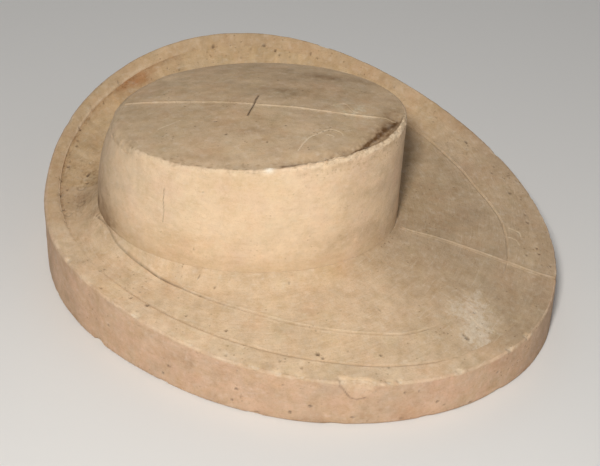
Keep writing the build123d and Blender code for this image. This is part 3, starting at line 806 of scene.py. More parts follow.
def make_brim_face():
    count = scaled(1270)
    points, dark, light = brim_face_points(count)
    flat = points * (1, 1, 0)
    x, y, _ = points.T
    deg, radius = bearing(x, y), np.hypot(x, y)
    from_foot, to_land = radius - foot_radius(deg), land_radius(deg) - radius
    right, far = right_side(deg), far_side(deg)
    outside = ease(-1.0, 1.0, radius - ring_radius(deg))
    # patches beside the crown's left end: dirt, and painted shade in the hollow there
    left = blobs(points, (1, -124, -12, 17, 34, 6), (0.9, -101, -41, 9, 13, 35),
                 (0.6, -88, -56, 11, 7, 35), (0.5, -133, 22, 12, 18), high=4)
    worn = blobs(points, (1, 161, -56, 22, 26, -20), (0.75, 171, -78, 13, 16), high=4)
    worn = np.clip(worn * 1.15 + 0.8 * lumps(flat, 13, 5, 21, 0.65) - 0.34, 0, 1)
    # the corner at the foot of the land, where painted shade and dirt go
    corner = bell(np.maximum(to_land, 0), 3.2)
    lip_side = span(deg, 110, 145, -176, -150)
    base = by_side(deg, left=srgb(206, 178, 144), near=srgb(216, 190, 158),
                   right=srgb(184, 161, 133), far=srgb(200, 172, 134))
    paint = coat(
        mottle(flat, base, seed=100),
        # patches on the right
        (srgb(150, 120, 88), 0.32 * blobs(points, (1, 182, -32, 10, 14),
                                          (0.6, 128, -52, 24, 10, 20), (0.5, 140, 26, 26, 14, 40))
         * patchy(flat, (12, 4, 68, 0.6), 0.7, 1.3, 1.3)),
        # lighter outside the ring than inside it
        (None, 0.05 * (2 * outside - 1) * span(deg, -20, 10, 56, 80)),
        # streaks down the far side
        (None, 0.18 * far * lumps(stack(deg * 2.2, radius * 0.10, 0), 6, 4, 61, 0.6)),
        (BROWN, 0.21 * far
         * patchy(stack(deg * 2.0, radius * 0.14, 0), (5, 4, 69, 0.65), 0, 1.6)),
        # dirt round the crown's foot, then brown at the left, partly dirt and partly painted shade in
        # the hollow beside the crown's left end
        (BROWN, 0.13 * bell(np.maximum(from_foot, 0), 5.0)
         * patchy(points, (16, 4, 63, 0.6), 0.5, 1.3, 1.5)),
        (BROWN, 0.34 * np.clip(left, 0, 1.2) * patchy(points, (13, 5, 64, 0.65), 0.38, 1.7, 1.4)),
        # rusty patch at the far left, ochre on the right
        (srgb(172, 112, 62), 0.66 * blob(points, -130, 113, 11, 17, -35)
         * patchy(points, (9, 4, 65), 0.85, 1.1, 1.4)),
        (OCHRE, 0.30 * blob(points, 70, -60, 12, 6, 20)),
        (OCHRE, 0.18 * blob(points, 92, 40, 30, 45)),
        (srgb(228, 210, 184), 0.52 * worn * patchy(flat, (3.6, 4, 66, 0.7), 0.6, 1.6, 1.3)),
        # dirt and painted shade in the corner by the land, the shade strongest where the land stands
        # above the brim; dirt in the seam
        (BROWN, (0.05 + 0.34 * lip_side) * corner
         * patchy(points, (6, 4, 67, 0.65), 0.7, 1.4, 1.4)),
        (BROWN, 0.30 * bell(to_land, 0.7) * seam_depth(deg)),
        (DARK, 0.78 * dark),
        # pale scratches and painted highlights along the scribed lines
        (PALE_SCRATCH_AND_HIGHLIGHT, 0.62 * light),
    )
    # dirt, with painted shade in the corner by the land and beside the crown's left end
    grime_and_shade = 0.12 + 0.40 * np.clip(left, 0, 1) + 0.4 * corner * lip_side + 0.18 * right + 0.12 * far
    add_rings("brim_surface", count, points, paint, chalk=0.10 + 0.52 * worn, grime_and_shade=grime_and_shade,
              material=MAT_BRIM, part="brim", node="brim_bed", slot="face_plaster")


# ---------------------------------------------------------------- outer wall with its land
EDGE_CHIPS = [  # bearing, 1 top edge or 0 bottom edge, half length, half height, depth
    (-142.3, 1, 3, 2.4, 1.5), (-21.8, 1, 3.4, 2.6, 1.6), (-16.9, 1, 2.8, 2.2, 1.4),
    (-50.1, 1, 2.6, 2, 1.3), (-47.3, 1, 3, 1.8, 1.2), (-45.3, 1, 2.2, 1.6, 1),
    (-74.6, 1, 5, 1.7, 1), (-69.8, 1, 4, 2, 1.1), (-64.9, 1, 4.4, 1.6, 1),
    (-92, 1, 4, 1.5, 0.7), (-33.6, 1, 3, 1.8, 1), (-110, 1, 4, 1.4, 0.7),
    (160, 1, 5, 2.4, 0.8), (35, 1, 5, 2, 0.7), (88, 1, 6, 2.2, 0.8),
    (-126, 0, 6, 3.6, 2.2), (-100, 0, 5, 1.8, 1), (-75, 0, 7, 1.8, 1), (-58, 0, 6, 1.8, 1.1),
    (-40, 0, 5, 1.6, 1), (-25, 0, 8, 2, 1.1), (-152, 0, 6, 2.2, 1.2), (80, 0, 7, 2.4, 1.2),
    (130, 0, 6, 2, 1.1), (20, 0, 6, 2, 1), (170, 0, 8, 2.2, 1.1),
]
WALL_PITS = [  # bearing, height, radius
    (-79.1, 17, 1.3), (-80.1, 7, 1.1), (-62.7, 14, 1.2), (-66.8, 7.2, 1.2), (-100.2, 7.5, 1.2),
    (-98.4, 15.5, 1), (-38, 11, 1), (-121, 21, 1), (-25, 17, 0.9), (60, 40, 1.3),
    (105, 62, 1.4), (140, 33, 1.3), (-170, 24, 1.2), (20, 26, 1.1),
]
# lower edge of the flake missing from the near top edge: bearings, heights
FLAKE_DEG = np.array([-57.0, -56.2, -54.9, -53.6, -51.9, -50.2])
FLAKE_Z = np.array([31.6, 28.5, 22.1, 20.4, 21.9, 28.0])
FLAKE_MID, FLAKE_RADIUS = -54.5, 175.0          # where the crack along that edge is laid out


def wall_rows(deg):
    """The wall's section at each bearing: rows of (radius, z, part), and the height of the crest."""
    rim, land, soft = station(deg, RADIUS), land_radius(deg), soft_side(deg)
    spread = stretch(deg)
    edge = stack(*polar(deg, rim), station(deg, HEIGHT))
    rounding = (1.5 + 1.2 * soft + 0.45 * lumps(edge, 16, 3, 71)) * spread
    inner_z, outer_z = brim_z(*polar(deg, land)), brim_z(*polar(deg, rim - 0.01))
    rows = []
    for share in [*np.linspace(0, 0.18, 5), *np.linspace(0.18, 1, scaled(18) - 4)[1:]]:
        radius = land + (rim - rounding - land) * share
        across = (radius - land) / (rim - land)
        climb = (1 - soft) * across + soft * (1 - (1 - across) ** 2)
        z = inner_z + (outer_z - inner_z) * climb + 0.46 * rounding * across
        rows.append(stack(radius, z, TOP))
    crest = z
    for k in range(1, 9):
        turn = k / 8 * math.pi / 2
        rows.append(stack(rim - rounding * (1 - math.sin(turn)),
                          crest - rounding * (1 - math.cos(turn)), ROUND))
    side_top = rows[-1][:, 1]
    for share in np.linspace(0, 1, scaled(42) + 1)[1:]:
        rows.append(stack(rim, side_top * (1 - share) + BASE_ROUND * share, SIDE))
    for k in range(1, 4):
        turn = k / 3 * math.pi / 2
        rows.append(stack(rim - BASE_ROUND * (1 - math.cos(turn)) * spread,
                          BASE_ROUND * (1 - math.sin(turn)), LOWER))
    for share in (0.5, 1.0):
        rows.append(stack((rim - BASE_ROUND * spread) * (1 - share) + land * share, 0, UNDER))
    for share in (0.15, 0.4, 0.65, 0.85, 0.96):
        rows.append(stack(land, (rows[0][:, 1] - 1.0) * share, INNER))
    return rows, crest


def make_outer_wall():
    count = scaled(1160)
    line_deg = even_angles(count, lambda deg: station(deg, RADIUS))
    rows, line_crest = wall_rows(line_deg)
    radius, z, part = np.array(rows).reshape(-1, 3).T
    deg, rim, crest, land = (np.tile(line, len(rows)) for line in (
        line_deg, station(line_deg, RADIUS), line_crest, land_radius(line_deg)))
    x, y = polar(deg, radius)
    start = stack(x, y, z)
    on_top, shell, on_side = part <= ROUND, part <= LOWER, part == SIDE
    from_rim, from_land = rim - radius, radius - land
    soft = soft_side(deg)

    # details of the brim run over the land and fade over the rounded edge
    lift, dark, light = brim_details(x, y)
    share = np.clip(1 - part / 2, 0, 1)
    dark, light = dark * share, light * share
    z = z + lift * share
    seam = (part == TOP) * bell(from_land, 0.7) * seam_depth(deg)
    z -= seam * (1 + 0.3 * lumps(start, 14, 2, 6))
    inner_round = (part == TOP) * bell(from_land, 1.1) * land_step(deg) / STEP
    z -= 0.9 * inner_round * (1 + 0.8 * lumps(start, 7, 3, 9))

    def around(middle):
        """Distance along the wall from a bearing."""
        return np.radians((deg - middle + 180) % 360 - 180) * rim

    # depth cut inward: slow waves, trowel drag, small holes
    inward = relief(start, (0.55, 60, 3, 72), (0.24, 14, 3, 73, 0.5, (1.6, 1.6, 0.7)),
                    (0.10, 4, 3, 74))
    inward *= shell * np.where(part == TOP, 0.0, np.where(part == ROUND, 0.7, 1.0))
    holes = patchy(start, (4.2, 2, 75), -2.24, 4.0) * on_side
    inward += 0.7 * holes
    for middle, height, size in WALL_PITS:
        distance = np.hypot(around(middle), z - height) / size
        hollow = np.clip(1 - distance ** 2, 0, 1) * on_side
        inward += 0.9 * hollow ** 0.7
        holes = np.maximum(holes, np.clip(1.3 * hollow ** 0.5, 0, 1))
    broken = np.zeros(len(x))
    crumble, fine = lumps(start, 5.0, 4, 76, 0.65), lumps(start, 2.4, 3, 77, 0.6)
    for middle, upper, half_long, half_tall, depth in EDGE_CHIPS:
        height = (z - crest * upper) / half_tall
        distance = np.sqrt((around(middle) / half_long) ** 2 + height ** 2) + 0.55 * crumble
        chip = ease(1.05, 0.45, distance) * shell
        if upper:
            chip = chip * ease(4.5, 1.5, from_rim)
        inward += depth * chip * (0.75 + 0.5 * crumble)
        z -= on_top * 0.6 * depth * chip
        broken = np.maximum(broken, chip)
    # general wear along the top edge
    rounded_or_side = (part == ROUND) | on_side
    scallop = lumps(start, 11, 3, 78, 0.6)
    inward += (bell(z - crest, 2.4) * rounded_or_side * (1 - 0.6 * soft)
               * np.clip(0.15 + 0.9 * crumble + 1.3 * scallop, 0, 1.9))
    # the missing flake, and the crack at its foot
    floor_z = np.interp(deg, FLAKE_DEG, FLAKE_Z)
    flake = np.clip((z - floor_z) / np.maximum(crest - floor_z, 1.0), 0, 1) ** 0.8
    flake *= span(deg, -57.4, -56.4, -51.0, -49.9) * shell * ease(6.0, 2.0, from_rim)
    inward += flake * (2.7 + 1.6 * crumble + 0.5 * fine)
    z -= on_top * 1.1 * flake
    path = stack(np.radians(FLAKE_DEG - FLAKE_MID) * FLAKE_RADIUS, FLAKE_Z)[:5]
    crack = np.abs(line_distance(stack(around(FLAKE_MID) + 0.8 * crumble, z), path)[0])
    crack = np.clip(1 - crack / 0.7, 0, 1) * on_side
    inward += 0.8 * crack
    shrink = (radius - np.maximum(inward, -0.6) * shell) / radius
    z = np.where(part == UNDER, 0.0, np.maximum(z, 0.0))
    points = stack(x * shrink, y * shrink, z)

    # colour
    side = on_side | (part == LOWER)
    on_land = part < SIDE
    base = by_side(deg, left=srgb(198, 170, 136), near=srgb(221, 195, 163),
                   right=srgb(182, 158, 130), far=srgb(196, 169, 135))
    base = coat(base, (WALL_TONE, side + 0.5 * (part == ROUND)))
    low = bell(z, 5.0) * side
    edge_width = patchy(points, (11, 3, 78, 0.6), 1.5, 0.9, 2.4, low=0.96)
    edge = bell(z - crest + 0.5, edge_width) * rounded_or_side
    paint = coat(
        mottle(np.where(side[:, None], points, points * (1, 1, 0)), base, seed=200),
        # painted shade on the wall's right side, which turns from the light
        (None, -0.10 * side * span(deg, -35, 0, 60, 100)),
        # brown low down and in patches, then pink, ochre and grey-green patches
        (BROWN, 0.10 * low),
        (BROWN, 0.20 * patchy(points, (34, 4, 204, 0.6), -0.05, 1)),
        (srgb(198, 152, 128), 0.34 * side * patchy(points, (26, 4, 205, 0.6), 0, 1.2)),
        (OCHRE, 0.22 * side * patchy(points, (14, 4, 206, 0.7), 0, 1.2)),
        (srgb(168, 158, 132), 0.22 * side * patchy(points, (22, 4, 209, 0.6), 0, 1.2)),
        # pale where plaster has broken away; on the worn top edge, pale wear with a painted highlight
        # along the bevel; on the land's inner round, a painted highlight
        (PALE, 0.62 * np.clip(broken + 1.2 * flake, 0, 1)
         * patchy(points, (4, 4, 207, 0.65), 0.75, 1.0, 1.2)),
        # pale wear and a painted highlight along the top edge's bevel
        (PALE, (0.46 + 0.20 * bell(deg + 78, 20.0)) * edge * (1 - 0.5 * soft)
         * patchy(points, (9, 5, 208, 0.7), 0.15, 2.4)),
        # painted highlight on the land's inner round
        (PALE, 0.80 * inner_round * patchy(points, (7, 4, 210, 0.6), 0.7, 1.2, 1.2)),
        (BROWN, 0.30 * seam),
        (DARK, np.clip(0.72 * dark + 0.55 * holes + 0.50 * crack
                       * patchy(points, (3, 3, 211), 0.9, 1.5, 1.2, low=0.2), 0, 0.9)),
        # pale scratches and painted highlights along the scribed lines, carried over the land
        (PALE_SCRATCH_AND_HIGHLIGHT, 0.5 * light),
    )
    grime_and_shade = 0.14 + 0.3 * low + (0.15 * right_side(deg) + 0.10 * far_side(deg)) * on_land
    add_rings("outer_wall", count, points, paint,
              chalk=0.08 + 0.18 * edge + 0.22 * broken + 0.12 * flake, grime_and_shade=grime_and_shade,
              material=MAT_WALL, part="brim", node="rim_wall", slot="wall_plaster")


# ---------------------------------------------------------------- crown shell
CROWN_CRACK = [(-40.6, 109), (-41.2, 101), (-40.7, 94), (-41.6, 85)]  # x, z on the near wall


def right_zone(deg):
    """The near right stretch of the crown's edge: sunken filling, rough lip."""
    return span(deg, -73, -52, 0, 12)


def left_zone(deg):
    """The left stretch of the crown's edge, worn to a soft bevel."""
    return span(deg, 140, 158, -140, -124)


def top_colour(points):
    """Colour of the crown's scraped top, shared by the shell's edge and the filling."""
    flat = points * (1, 1, 0)
    crevice = np.abs(line_distance(flat, CREVICE)[0]) + 0.8 * lumps(flat, 6, 3, 416)
    grow = ease(36, 62, points[:, 0])
    return coat(
        mottle(flat, GREY, seed=400, amount=1.35, squash=(1.8, 1, 1)),
        # a darker far side, a brown patch and two lighter ones
        (None, -0.17 * blobs(flat, (1, 48, 36, 44, 26, -15), (0.5, -10, 48, 40, 18))
         * patchy(flat, (20, 4, 411, 0.6), 0.9, 1.0, 1.5)),
        (BROWN, 0.16 * blob(flat, 6, 22, 30, 10, 5)
         * patchy(flat, (14, 4, 412, 0.6), 0.6, 1.2, 1.2)),
        (srgb(194, 170, 138), 0.50 * blob(flat, -58, -34, 44, 26, -25)),
        (srgb(194, 172, 142), 0.35 * blob(flat, 60, -20, 30, 16)),
        # dull brown stains
        (srgb(142, 114, 82), 0.75 * blobs(flat, (1, 15, 20, 14, 7, -5), (0.7, 33, 50, 12, 5),
                                          (0.6, 8, 62, 10, 5), (0.6, 40, 55, 26, 6))
         * patchy(flat, (10, 4, 418, 0.65), 0.7, 1.4, 1.3)),
        # scraped swirls, the recess at the right end, chalky patches
        (srgb(214, 200, 174), 0.85 * blob(flat, 62, 4, 18, 13)
         * patchy(flat, (8, 4, 97, 0.65), 0.30, 2.4)),
        (srgb(138, 104, 68), 0.62 * blobs(flat, (1, 91, -14, 7, 24, 14), (0.7, 90, 6, 7, 12))
         * patchy(flat, (9, 4, 413, 0.6), 0.75, 1.2, 1.25)),
        (srgb(218, 200, 172), 0.50 * patchy(flat, (11, 5, 415, 0.7, (2.2, 1, 1)), -0.30, 1.6)),
        # the crevice, a sharp line in a broad stain
        (srgb(104, 74, 44), (0.45 + 0.40 * grow) * bell(crevice, 1.2)
         + (0.22 + 0.42 * grow) * bell(crevice, 5.2)
         * patchy(flat, (5, 4, 417, 0.65), 0.6, 1.5, 1.3)),
    )


def crown_rows(turn):
    """The shell's section at each angle: rows of (x, y, z, part, inset from the top outline)."""
    deg = np.degrees(turn)
    x, y = oval(1, turn)
    edge = 1.3 + 4.6 * left_zone(deg) * (1 + 0.25 * lumps(stack(x, y, 0), 14, 3, 79))
    edge = np.clip(edge + 1.1 * span(deg, 15, 40, 135, 150), 0.8, 6.4)
    side_top = dome_z(x, y) - edge
    rows = []

    def put(x, y, z, part, inset=99.0):
        rows.append(stack(x, y, z, part, inset))

    for share in np.linspace(0, 1, 13):
        inset = SHELL * (1 - share) + edge * share
        x, y = oval(1, turn, inset)
        put(x, y, dome_z(x, y), TOP, inset)
    for k in range(1, 9):
        angle = k / 8 * math.pi / 2
        inset = edge * (1 - math.sin(angle))
        x, y = oval(1, turn, inset)
        put(x, y, dome_z(x, y) - edge * (1 - math.cos(angle)), ROUND, inset)
    for share in np.linspace(0, 1, scaled(74) + 1)[1:]:
        x, y = oval(1 - share, turn)
        put(x, y, side_top * (1 - share) + foot_z(x) * share, SIDE)
    x, y = oval(0, turn)
    for share in (0.03, 0.08, 0.25, 0.5, 0.75, 1.0):
        put(x, y, foot_z(x) * (1 - share) + (SEAT_Z + FOOT_BEVEL) * share, LOWER)
    for share in (0.5, 1.0):
        put(*oval(0, turn, FOOT_BEVEL * share), SEAT_Z + FOOT_BEVEL * (1 - share), UNDER)
    for share in (0.5, 1.0):
        put(*oval(0, turn, FOOT_BEVEL + (SHELL - FOOT_BEVEL) * share), SEAT_Z, UNDER)
    inner_top = dome_z(*oval(1, turn, SHELL)) - 3.5
    for share in (0.12, 0.3, 0.5, 0.7, 0.88):
        z = SEAT_Z * (1 - share) + inner_top * share
        put(*oval(level_at(z, turn), turn, SHELL), z, INNER)
    return rows


def make_crown_shell():
    count = scaled(880)
    turns = np.linspace(-math.pi, math.pi, 4001)
    travel = np.hypot(*(np.diff(values) for values in oval(0, turns)))
    travel = np.concatenate([[0], np.cumsum(travel)])
    turn = np.interp(np.arange(count) / count * travel[-1], travel, turns)
    rows = crown_rows(turn)
    x, y, z, part, inset = np.array(rows).reshape(-1, 5).T
    start = stack(x, y, z)
    deg = np.tile(np.degrees(turn), len(rows))
    on_top, on_side, side = part <= ROUND, part == SIDE, (part == ROUND) | (part == SIDE)
    # outward direction in plan
    out_x, out_y = polar(deg, 1.0)
    out_x, out_y = out_x / 105.0, out_y / 83.0
    length = np.hypot(out_x, out_y)
    below, above = dome_z(x, y) - z, z - foot_z(x)
    outward = side * relief(start, (0.60, 70, 2, 81), (0.22, 20, 3, 82, 0.5, (1, 1, 0.6)),
                            (0.06, 4, 3, 83))
    # soft swelling above the foot, and the foot filling its socket
    swelling = 0.8 * (1 - span(deg, 145, 168, -158, -136)) * bell(above - 9.0, 6.0)
    outward += on_side * swelling * (0.5 + 0.5 * lumps(start, 50, 2, 84))
    near_foot = bell(above, 2.5) * (on_side | (part == LOWER))
    outward = outward * (1 - near_foot) + 0.28 * near_foot
    # tool strokes running along the wall low down
    drag = lumps(start, 3.2, 3, 87, 0.6, (7, 7, 1))
    outward += on_side * 0.22 * bell(above - 7, 9.0) * drag
    # broken lip
    rough, lump = lumps(start, 4.2, 4, 85, 0.7), lumps(start, 13, 3, 86, 0.6)
    right, left, near = right_zone(deg), left_zone(deg), span(deg, -150, -128, 8, 30)
    wear = 0.20 + 0.50 * near + 0.80 * right + 0.40 * left
    lip = np.where(on_top, 1.0, bell(np.maximum(below, 0), 2.2) * on_side)
    change = (wear * (0.46 * rough + 0.25 * lump) * (0.25 + 0.75 * ease(4.6, 2.6, inset))
              * ease(7.0, 5.6, inset))
    change += right * bell(inset - 2.0, 1.6) * (0.7 + 1.6 * lump + 1.3 * rough)
    change -= 2.7 * right * ease(3.2, 4.6, inset + 0.9 * lump)
    # a broken facet on the soft left edge
    change -= (left * 0.8 * np.clip(0.3 + 1.4 * lump + 0.6 * rough, 0, 1.5)
               * ease(5.5, 2.0, inset))
    z = z + on_top * change
    outward -= lip * side * np.clip(0.25 + rough + 0.9 * lump, -0.3, 2.0) * wear
    # a chip at the near edge, a fine crack and small holes
    chip = bell(x - 28.5, 2.6) * (y < 0) * (part <= SIDE) * bell(z - dome_z(x, y), 1.8)
    chip = chip * np.where(part == TOP, ease(3.4, 1.6, inset), 1.0)
    crack = np.abs(line_distance(stack(x, z), CROWN_CRACK)[0])
    crack = np.clip(1 - crack / 0.5, 0, 1) * on_side * (y < 0)
    holes = patchy(start, (3.4, 2, 88), -3.1, 5) * on_side
    outward -= 0.8 * chip + 0.35 * crack + 0.4 * holes
    outward = np.where(part == LOWER, np.clip(outward, 0, 0.28), outward * (part < LOWER))
    points = stack(x + out_x / length * outward, y + out_y / length * outward, z)

    # colour
    x, y, z = points.T
    upright, near_half = points[:, ::2], y < 20
    # brown at the left end's foot: stain, and painted shade in the hollow there
    left_foot = (blobs(points, (1, -101, -39, 9, 16, 30), (0.8, -87, -55, 11, 8, 30))
                 * bell(above, 9.0))
    # the shell's top takes the scraped colour; only a narrow near lip is pale
    lip_width = 2.0 + 1.5 * right + 2.2 * lumps(points, 9, 4, 318, 0.65)
    top_share = (on_top * (1 - near * ease(lip_width + 0.6, lip_width - 0.6, inset))
                 * ease(0.2, 1.2, inset + 2.0 * (1 - near))
                 * (1 - 0.75 * span(deg, -179.9, -172, -160, -140) * ease(4.6, 2.0, inset)))
    brink = near * on_top * bell(inset - lip_width, 0.7)
    # the pale near lip: broken plaster, with a painted highlight
    pale_lip = np.where(on_top, 1.0, bell(np.maximum(below, 0), 1.5)) * near
    paint = coat(
        mottle(points, SHELL_TONE, seed=300, amount=0.80, squash=(1, 1, 0.8)),
        # a painted pool of light high on the middle of the near wall, where it faces the lamp; duller
        # near the foot
        (srgb(236, 210, 176), 0.45 * blob(upright, 5, 105, 60, 26) * near_half),
        (srgb(212, 184, 148), 0.60 * bell(np.maximum(above, 0), 9.0) * (part >= SIDE)),
        (OCHRE, 0.26 * blob(upright, -30, 74, 26, 8) * near_half),
        (OCHRE, 0.20 * blob(upright, 10, 121, 24, 8) * near_half),
        (srgb(222, 190, 166), 0.5 * patchy(points, (24, 4, 315, 0.6), 0, 1.3)),
        # a stain at the right end, then painted shade along the right side, which turns from the light
        (BROWN, 0.27 * blob(upright, 86, 112, 10, 18, 20) * near_half
         * patchy(points, (10, 5, 310, 0.65), 0.6, 1.4, 1.3)),
        (srgb(182, 142, 106), 0.5 * span(deg, -20, 30, 60, 100)),
        # the left end: brown towards its foot, partly stain and partly painted shade in the hollow
        # there; painted shade over the end, which turns from the light
        (BROWN, 0.55 * left_foot * patchy(points, (9, 4, 311, 0.65), 0.7, 1.3, 1.3)),
        (None, -0.12 * ease(-58, -100, x)),
        (BROWN, 0.60 * blob(upright, -102, 64, 24, 20)
         * patchy(points, (16, 4, 316, 0.6), 0.7, 1.2, 1.3)),
        (BROWN, 0.28 * blob(upright, 80, 76, 22, 10) * near_half
         * patchy(points, (10, 4, 312, 0.6), 0.6, 1.2, 1.2)),
        # a grey streak down from the near edge
        (GREY, 0.22 * bell(x + 61, 1.6) * near_half * ease(88, 96, z)),
        # stain under the rough lip, then the lip itself, pale from broken plaster and from a painted
        # highlight where it turns to the lamp
        (srgb(138, 104, 72), 0.40 * right * bell(below - 3.5, 3.0) * on_side
         * patchy(points, (7, 4, 317, 0.65), 0.2, 1.8)),
        (srgb(226, 204, 174), (0.42 + 0.42 * right) * pale_lip
         * patchy(points, (5, 5, 313, 0.7), 0.65, 1.2, 1.1)),
        (top_colour(points), top_share),
        (srgb(120, 88, 54), 0.55 * brink * patchy(points, (4, 4, 320, 0.65), 0.3, 2.2, 1.2)),
        (srgb(246, 238, 222), 0.85 * chip),
        (BROWN, 0.42 * pale_lip * patchy(points, (4.5, 4, 319, 0.7), -0.05, 1.9)),
        (DARK, np.clip(0.5 * crack + 0.42 * holes, 0, 0.8)),
    )
    # dirt, with painted shade at the left end's foot
    grime_and_shade = 0.05 + 0.45 * right * (below < 9) + 0.5 * left_foot + 0.25 * top_share
    add_rings("crown_shell", count, points, paint, chalk=0.05 + 0.15 * pale_lip, grime_and_shade=grime_and_shade,
              material=MAT_CROWN, part="crown", node="crown_wall", slot="crown_plaster")


# ---------------------------------------------------------------- crown filling
TOP_SCRATCHES = [  # brightness, x y points
    (0.85, [(-56.8, -38.7), (-51.5, -33.6), (-45.3, -27.4)]),
    (0.95, [(41.1, -52.7), (42.3, -44.7), (44.3, -37.3), (48.8, -31.4), (52.3, -26.8),
            (56.3, -24.4), (62.7, -26.3), (64.7, -29.3)]),
    (1.0, [(59.5, -32.1), (57.4, -31), (54.6, -31)]),
    (0.45, [(48.3, 6.4), (52.8, 10.8), (56.4, 12.2), (60.9, 7.5), (64, 3.4), (66.8, 2.1),
            (68.6, 5.6), (68.4, 10.2)]),
    (0.10, [(10, 31), (24, 34)]),
]
TOP_PITS = [  # x, y, radius, depth
    (-20.8, -27, 0.9, 0.9), (-9.5, -41.8, 1, 0.9), (19.3, -47, 0.9, 0.8), (-32.9, -34, 0.7, 0.6),
    (26, -26, 0.7, 0.4), (-48, -8, 0.6, 0.4), (3, 40, 0.7, 0.4), (60, -4, 0.7, 0.4),
]
FILL_INSET = SHELL + POUR_GAP
PIN_SIDES = 48
# the foot's centre and half axes, rounded, used to lay points over the underside
FOOT_MID_X, FOOT_HALF_X, FOOT_HALF_Y = -7.0, 104.0, 83.4


def fill_top(turn, reach):
    """Points of the filling's top with dark and light shares; reach is 0 mid, 1 at the edge."""
    x, y = (values * reach for values in oval(1, turn, SHELL + 0.02))
    flat = stack(x, y, 0)
    from_edge = (1 - reach) * 85
    z = dome_z(x, y)
    z += ease(0, 7, from_edge) * relief(flat, (0.35, 60, 2, 91),
                                        (0.14, 16, 3, 92, 0.5, (2.2, 1, 1)), (0.045, 4, 3, 93))
    cut, groove = scribe(flat, CROWN_LINE, 1.5, 0.6, ridge=0.5, wander=0.35, seed=94)
    hold = 0.55 + 0.45 * ease(-0.1, 0.25, lumps(flat, 40, 2, 95))
    z += cut * hold
    light = np.clip(groove * 1.3, 0, 1) * 0.66 * hold
    cut, groove = scribe(flat, CROWN_TICK, 1.7, 0.75, ridge=0.2, wander=0.05, seed=96)
    z += cut
    dark = np.clip(groove * 1.2, 0, 1)
    cut, bright = scratches(flat, TOP_SCRATCHES, seed=120, depth=0.28, ridge=0.6, wander=0.1)
    z += cut
    light = np.maximum(light, bright)
    for pit_x, pit_y, size, depth in TOP_PITS:
        hollow = np.clip(1 - (np.hypot(x - pit_x, y - pit_y) / size) ** 2, 0, 1)
        z -= depth * hollow ** 0.7
        dark = np.maximum(dark, 0.85 * hollow ** 0.5)
    # scraped swirls towards the right end
    z -= 0.20 * blob(flat, 58, 8, 20, 13) * patchy(flat, (9, 4, 97, 0.65), 0, 1)
    # the sunken edge
    deg = bearing(x / LEVELS[2][1], y / LEVELS[2][2])
    z -= 2.7 * right_zone(deg) * bell(from_edge, 4.5) * patchy(flat, (8, 3, 98), 0.95, 0.4, 1.3)
    z -= 0.05 * left_zone(deg) * bell(from_edge, 5.0)
    return stack(x, y, z), dark, light


def circle(middle_x, radius, z):
    turn = 2 * np.pi * np.arange(PIN_SIDES) / PIN_SIDES
    return stack(middle_x + radius * np.cos(turn), radius * np.sin(turn), z)


def fill_underside(border, border_index, base):
    """Flat underside with an opening for each pin.

    border holds the outline's points and border_index their places in the mesh; new points
    are numbered from base. Gives the new points, the triangles and each opening's indices.
    """
    count = len(border)
    openings = [circle(middle, FLANGE_R + POUR_GAP, SEAT_Z) for middle in (-PIN_X, PIN_X)]
    x, y = (values.ravel() for values in np.meshgrid(
        np.arange(-96, 97, 8.0), np.arange(-72, 73, 8.0), indexing="ij"))
    toward = np.arctan2(y / FOOT_HALF_Y, (x - FOOT_MID_X) / FOOT_HALF_X)
    edge_x, edge_y = oval(0, toward, FILL_INSET + 5)
    inside = np.hypot(x - FOOT_MID_X, y) < np.hypot(edge_x - FOOT_MID_X, edge_y)
    for middle in (-PIN_X, PIN_X):
        inside &= np.hypot(x - middle, y) > FLANGE_R + 4
    plan = np.vstack([border[:, :2], *(ring[:, :2] for ring in openings), stack(x, y)[inside]])
    edges = []
    for start, size in ((0, count), (count, PIN_SIDES), (count + PIN_SIDES, PIN_SIDES)):
        edges += [(start + k, start + (k + 1) % size) for k in range(size)]
    result = delaunay_2d_cdt([Vector(point) for point in plan.tolist()], edges, [], 1, 1e-6)
    spots, faces, sources = result[0], result[2], result[3]
    index, where, extra = [], {}, []
    for spot, source in zip(spots, sources):
        if source and source[0] < count:
            index.append(int(border_index[source[0]]))
        else:
            index.append(base + len(extra))
            extra.append((spot.x, spot.y, SEAT_Z))
        for k in source:
            where[k] = index[-1]
    triangles = []
    for face in faces:
        x, y = np.mean([[spots[k].x, spots[k].y] for k in face], axis=0)
        if all(math.hypot(x - middle, y) >= FLANGE_R for middle in (-PIN_X, PIN_X)):
            triangles.append([index[k] for k in face])
    rings = [np.array([where[count + k * PIN_SIDES + i] for i in range(PIN_SIDES)])
             for k in (0, 1)]
    return np.array(extra), np.array(triangles)[:, ::-1], rings


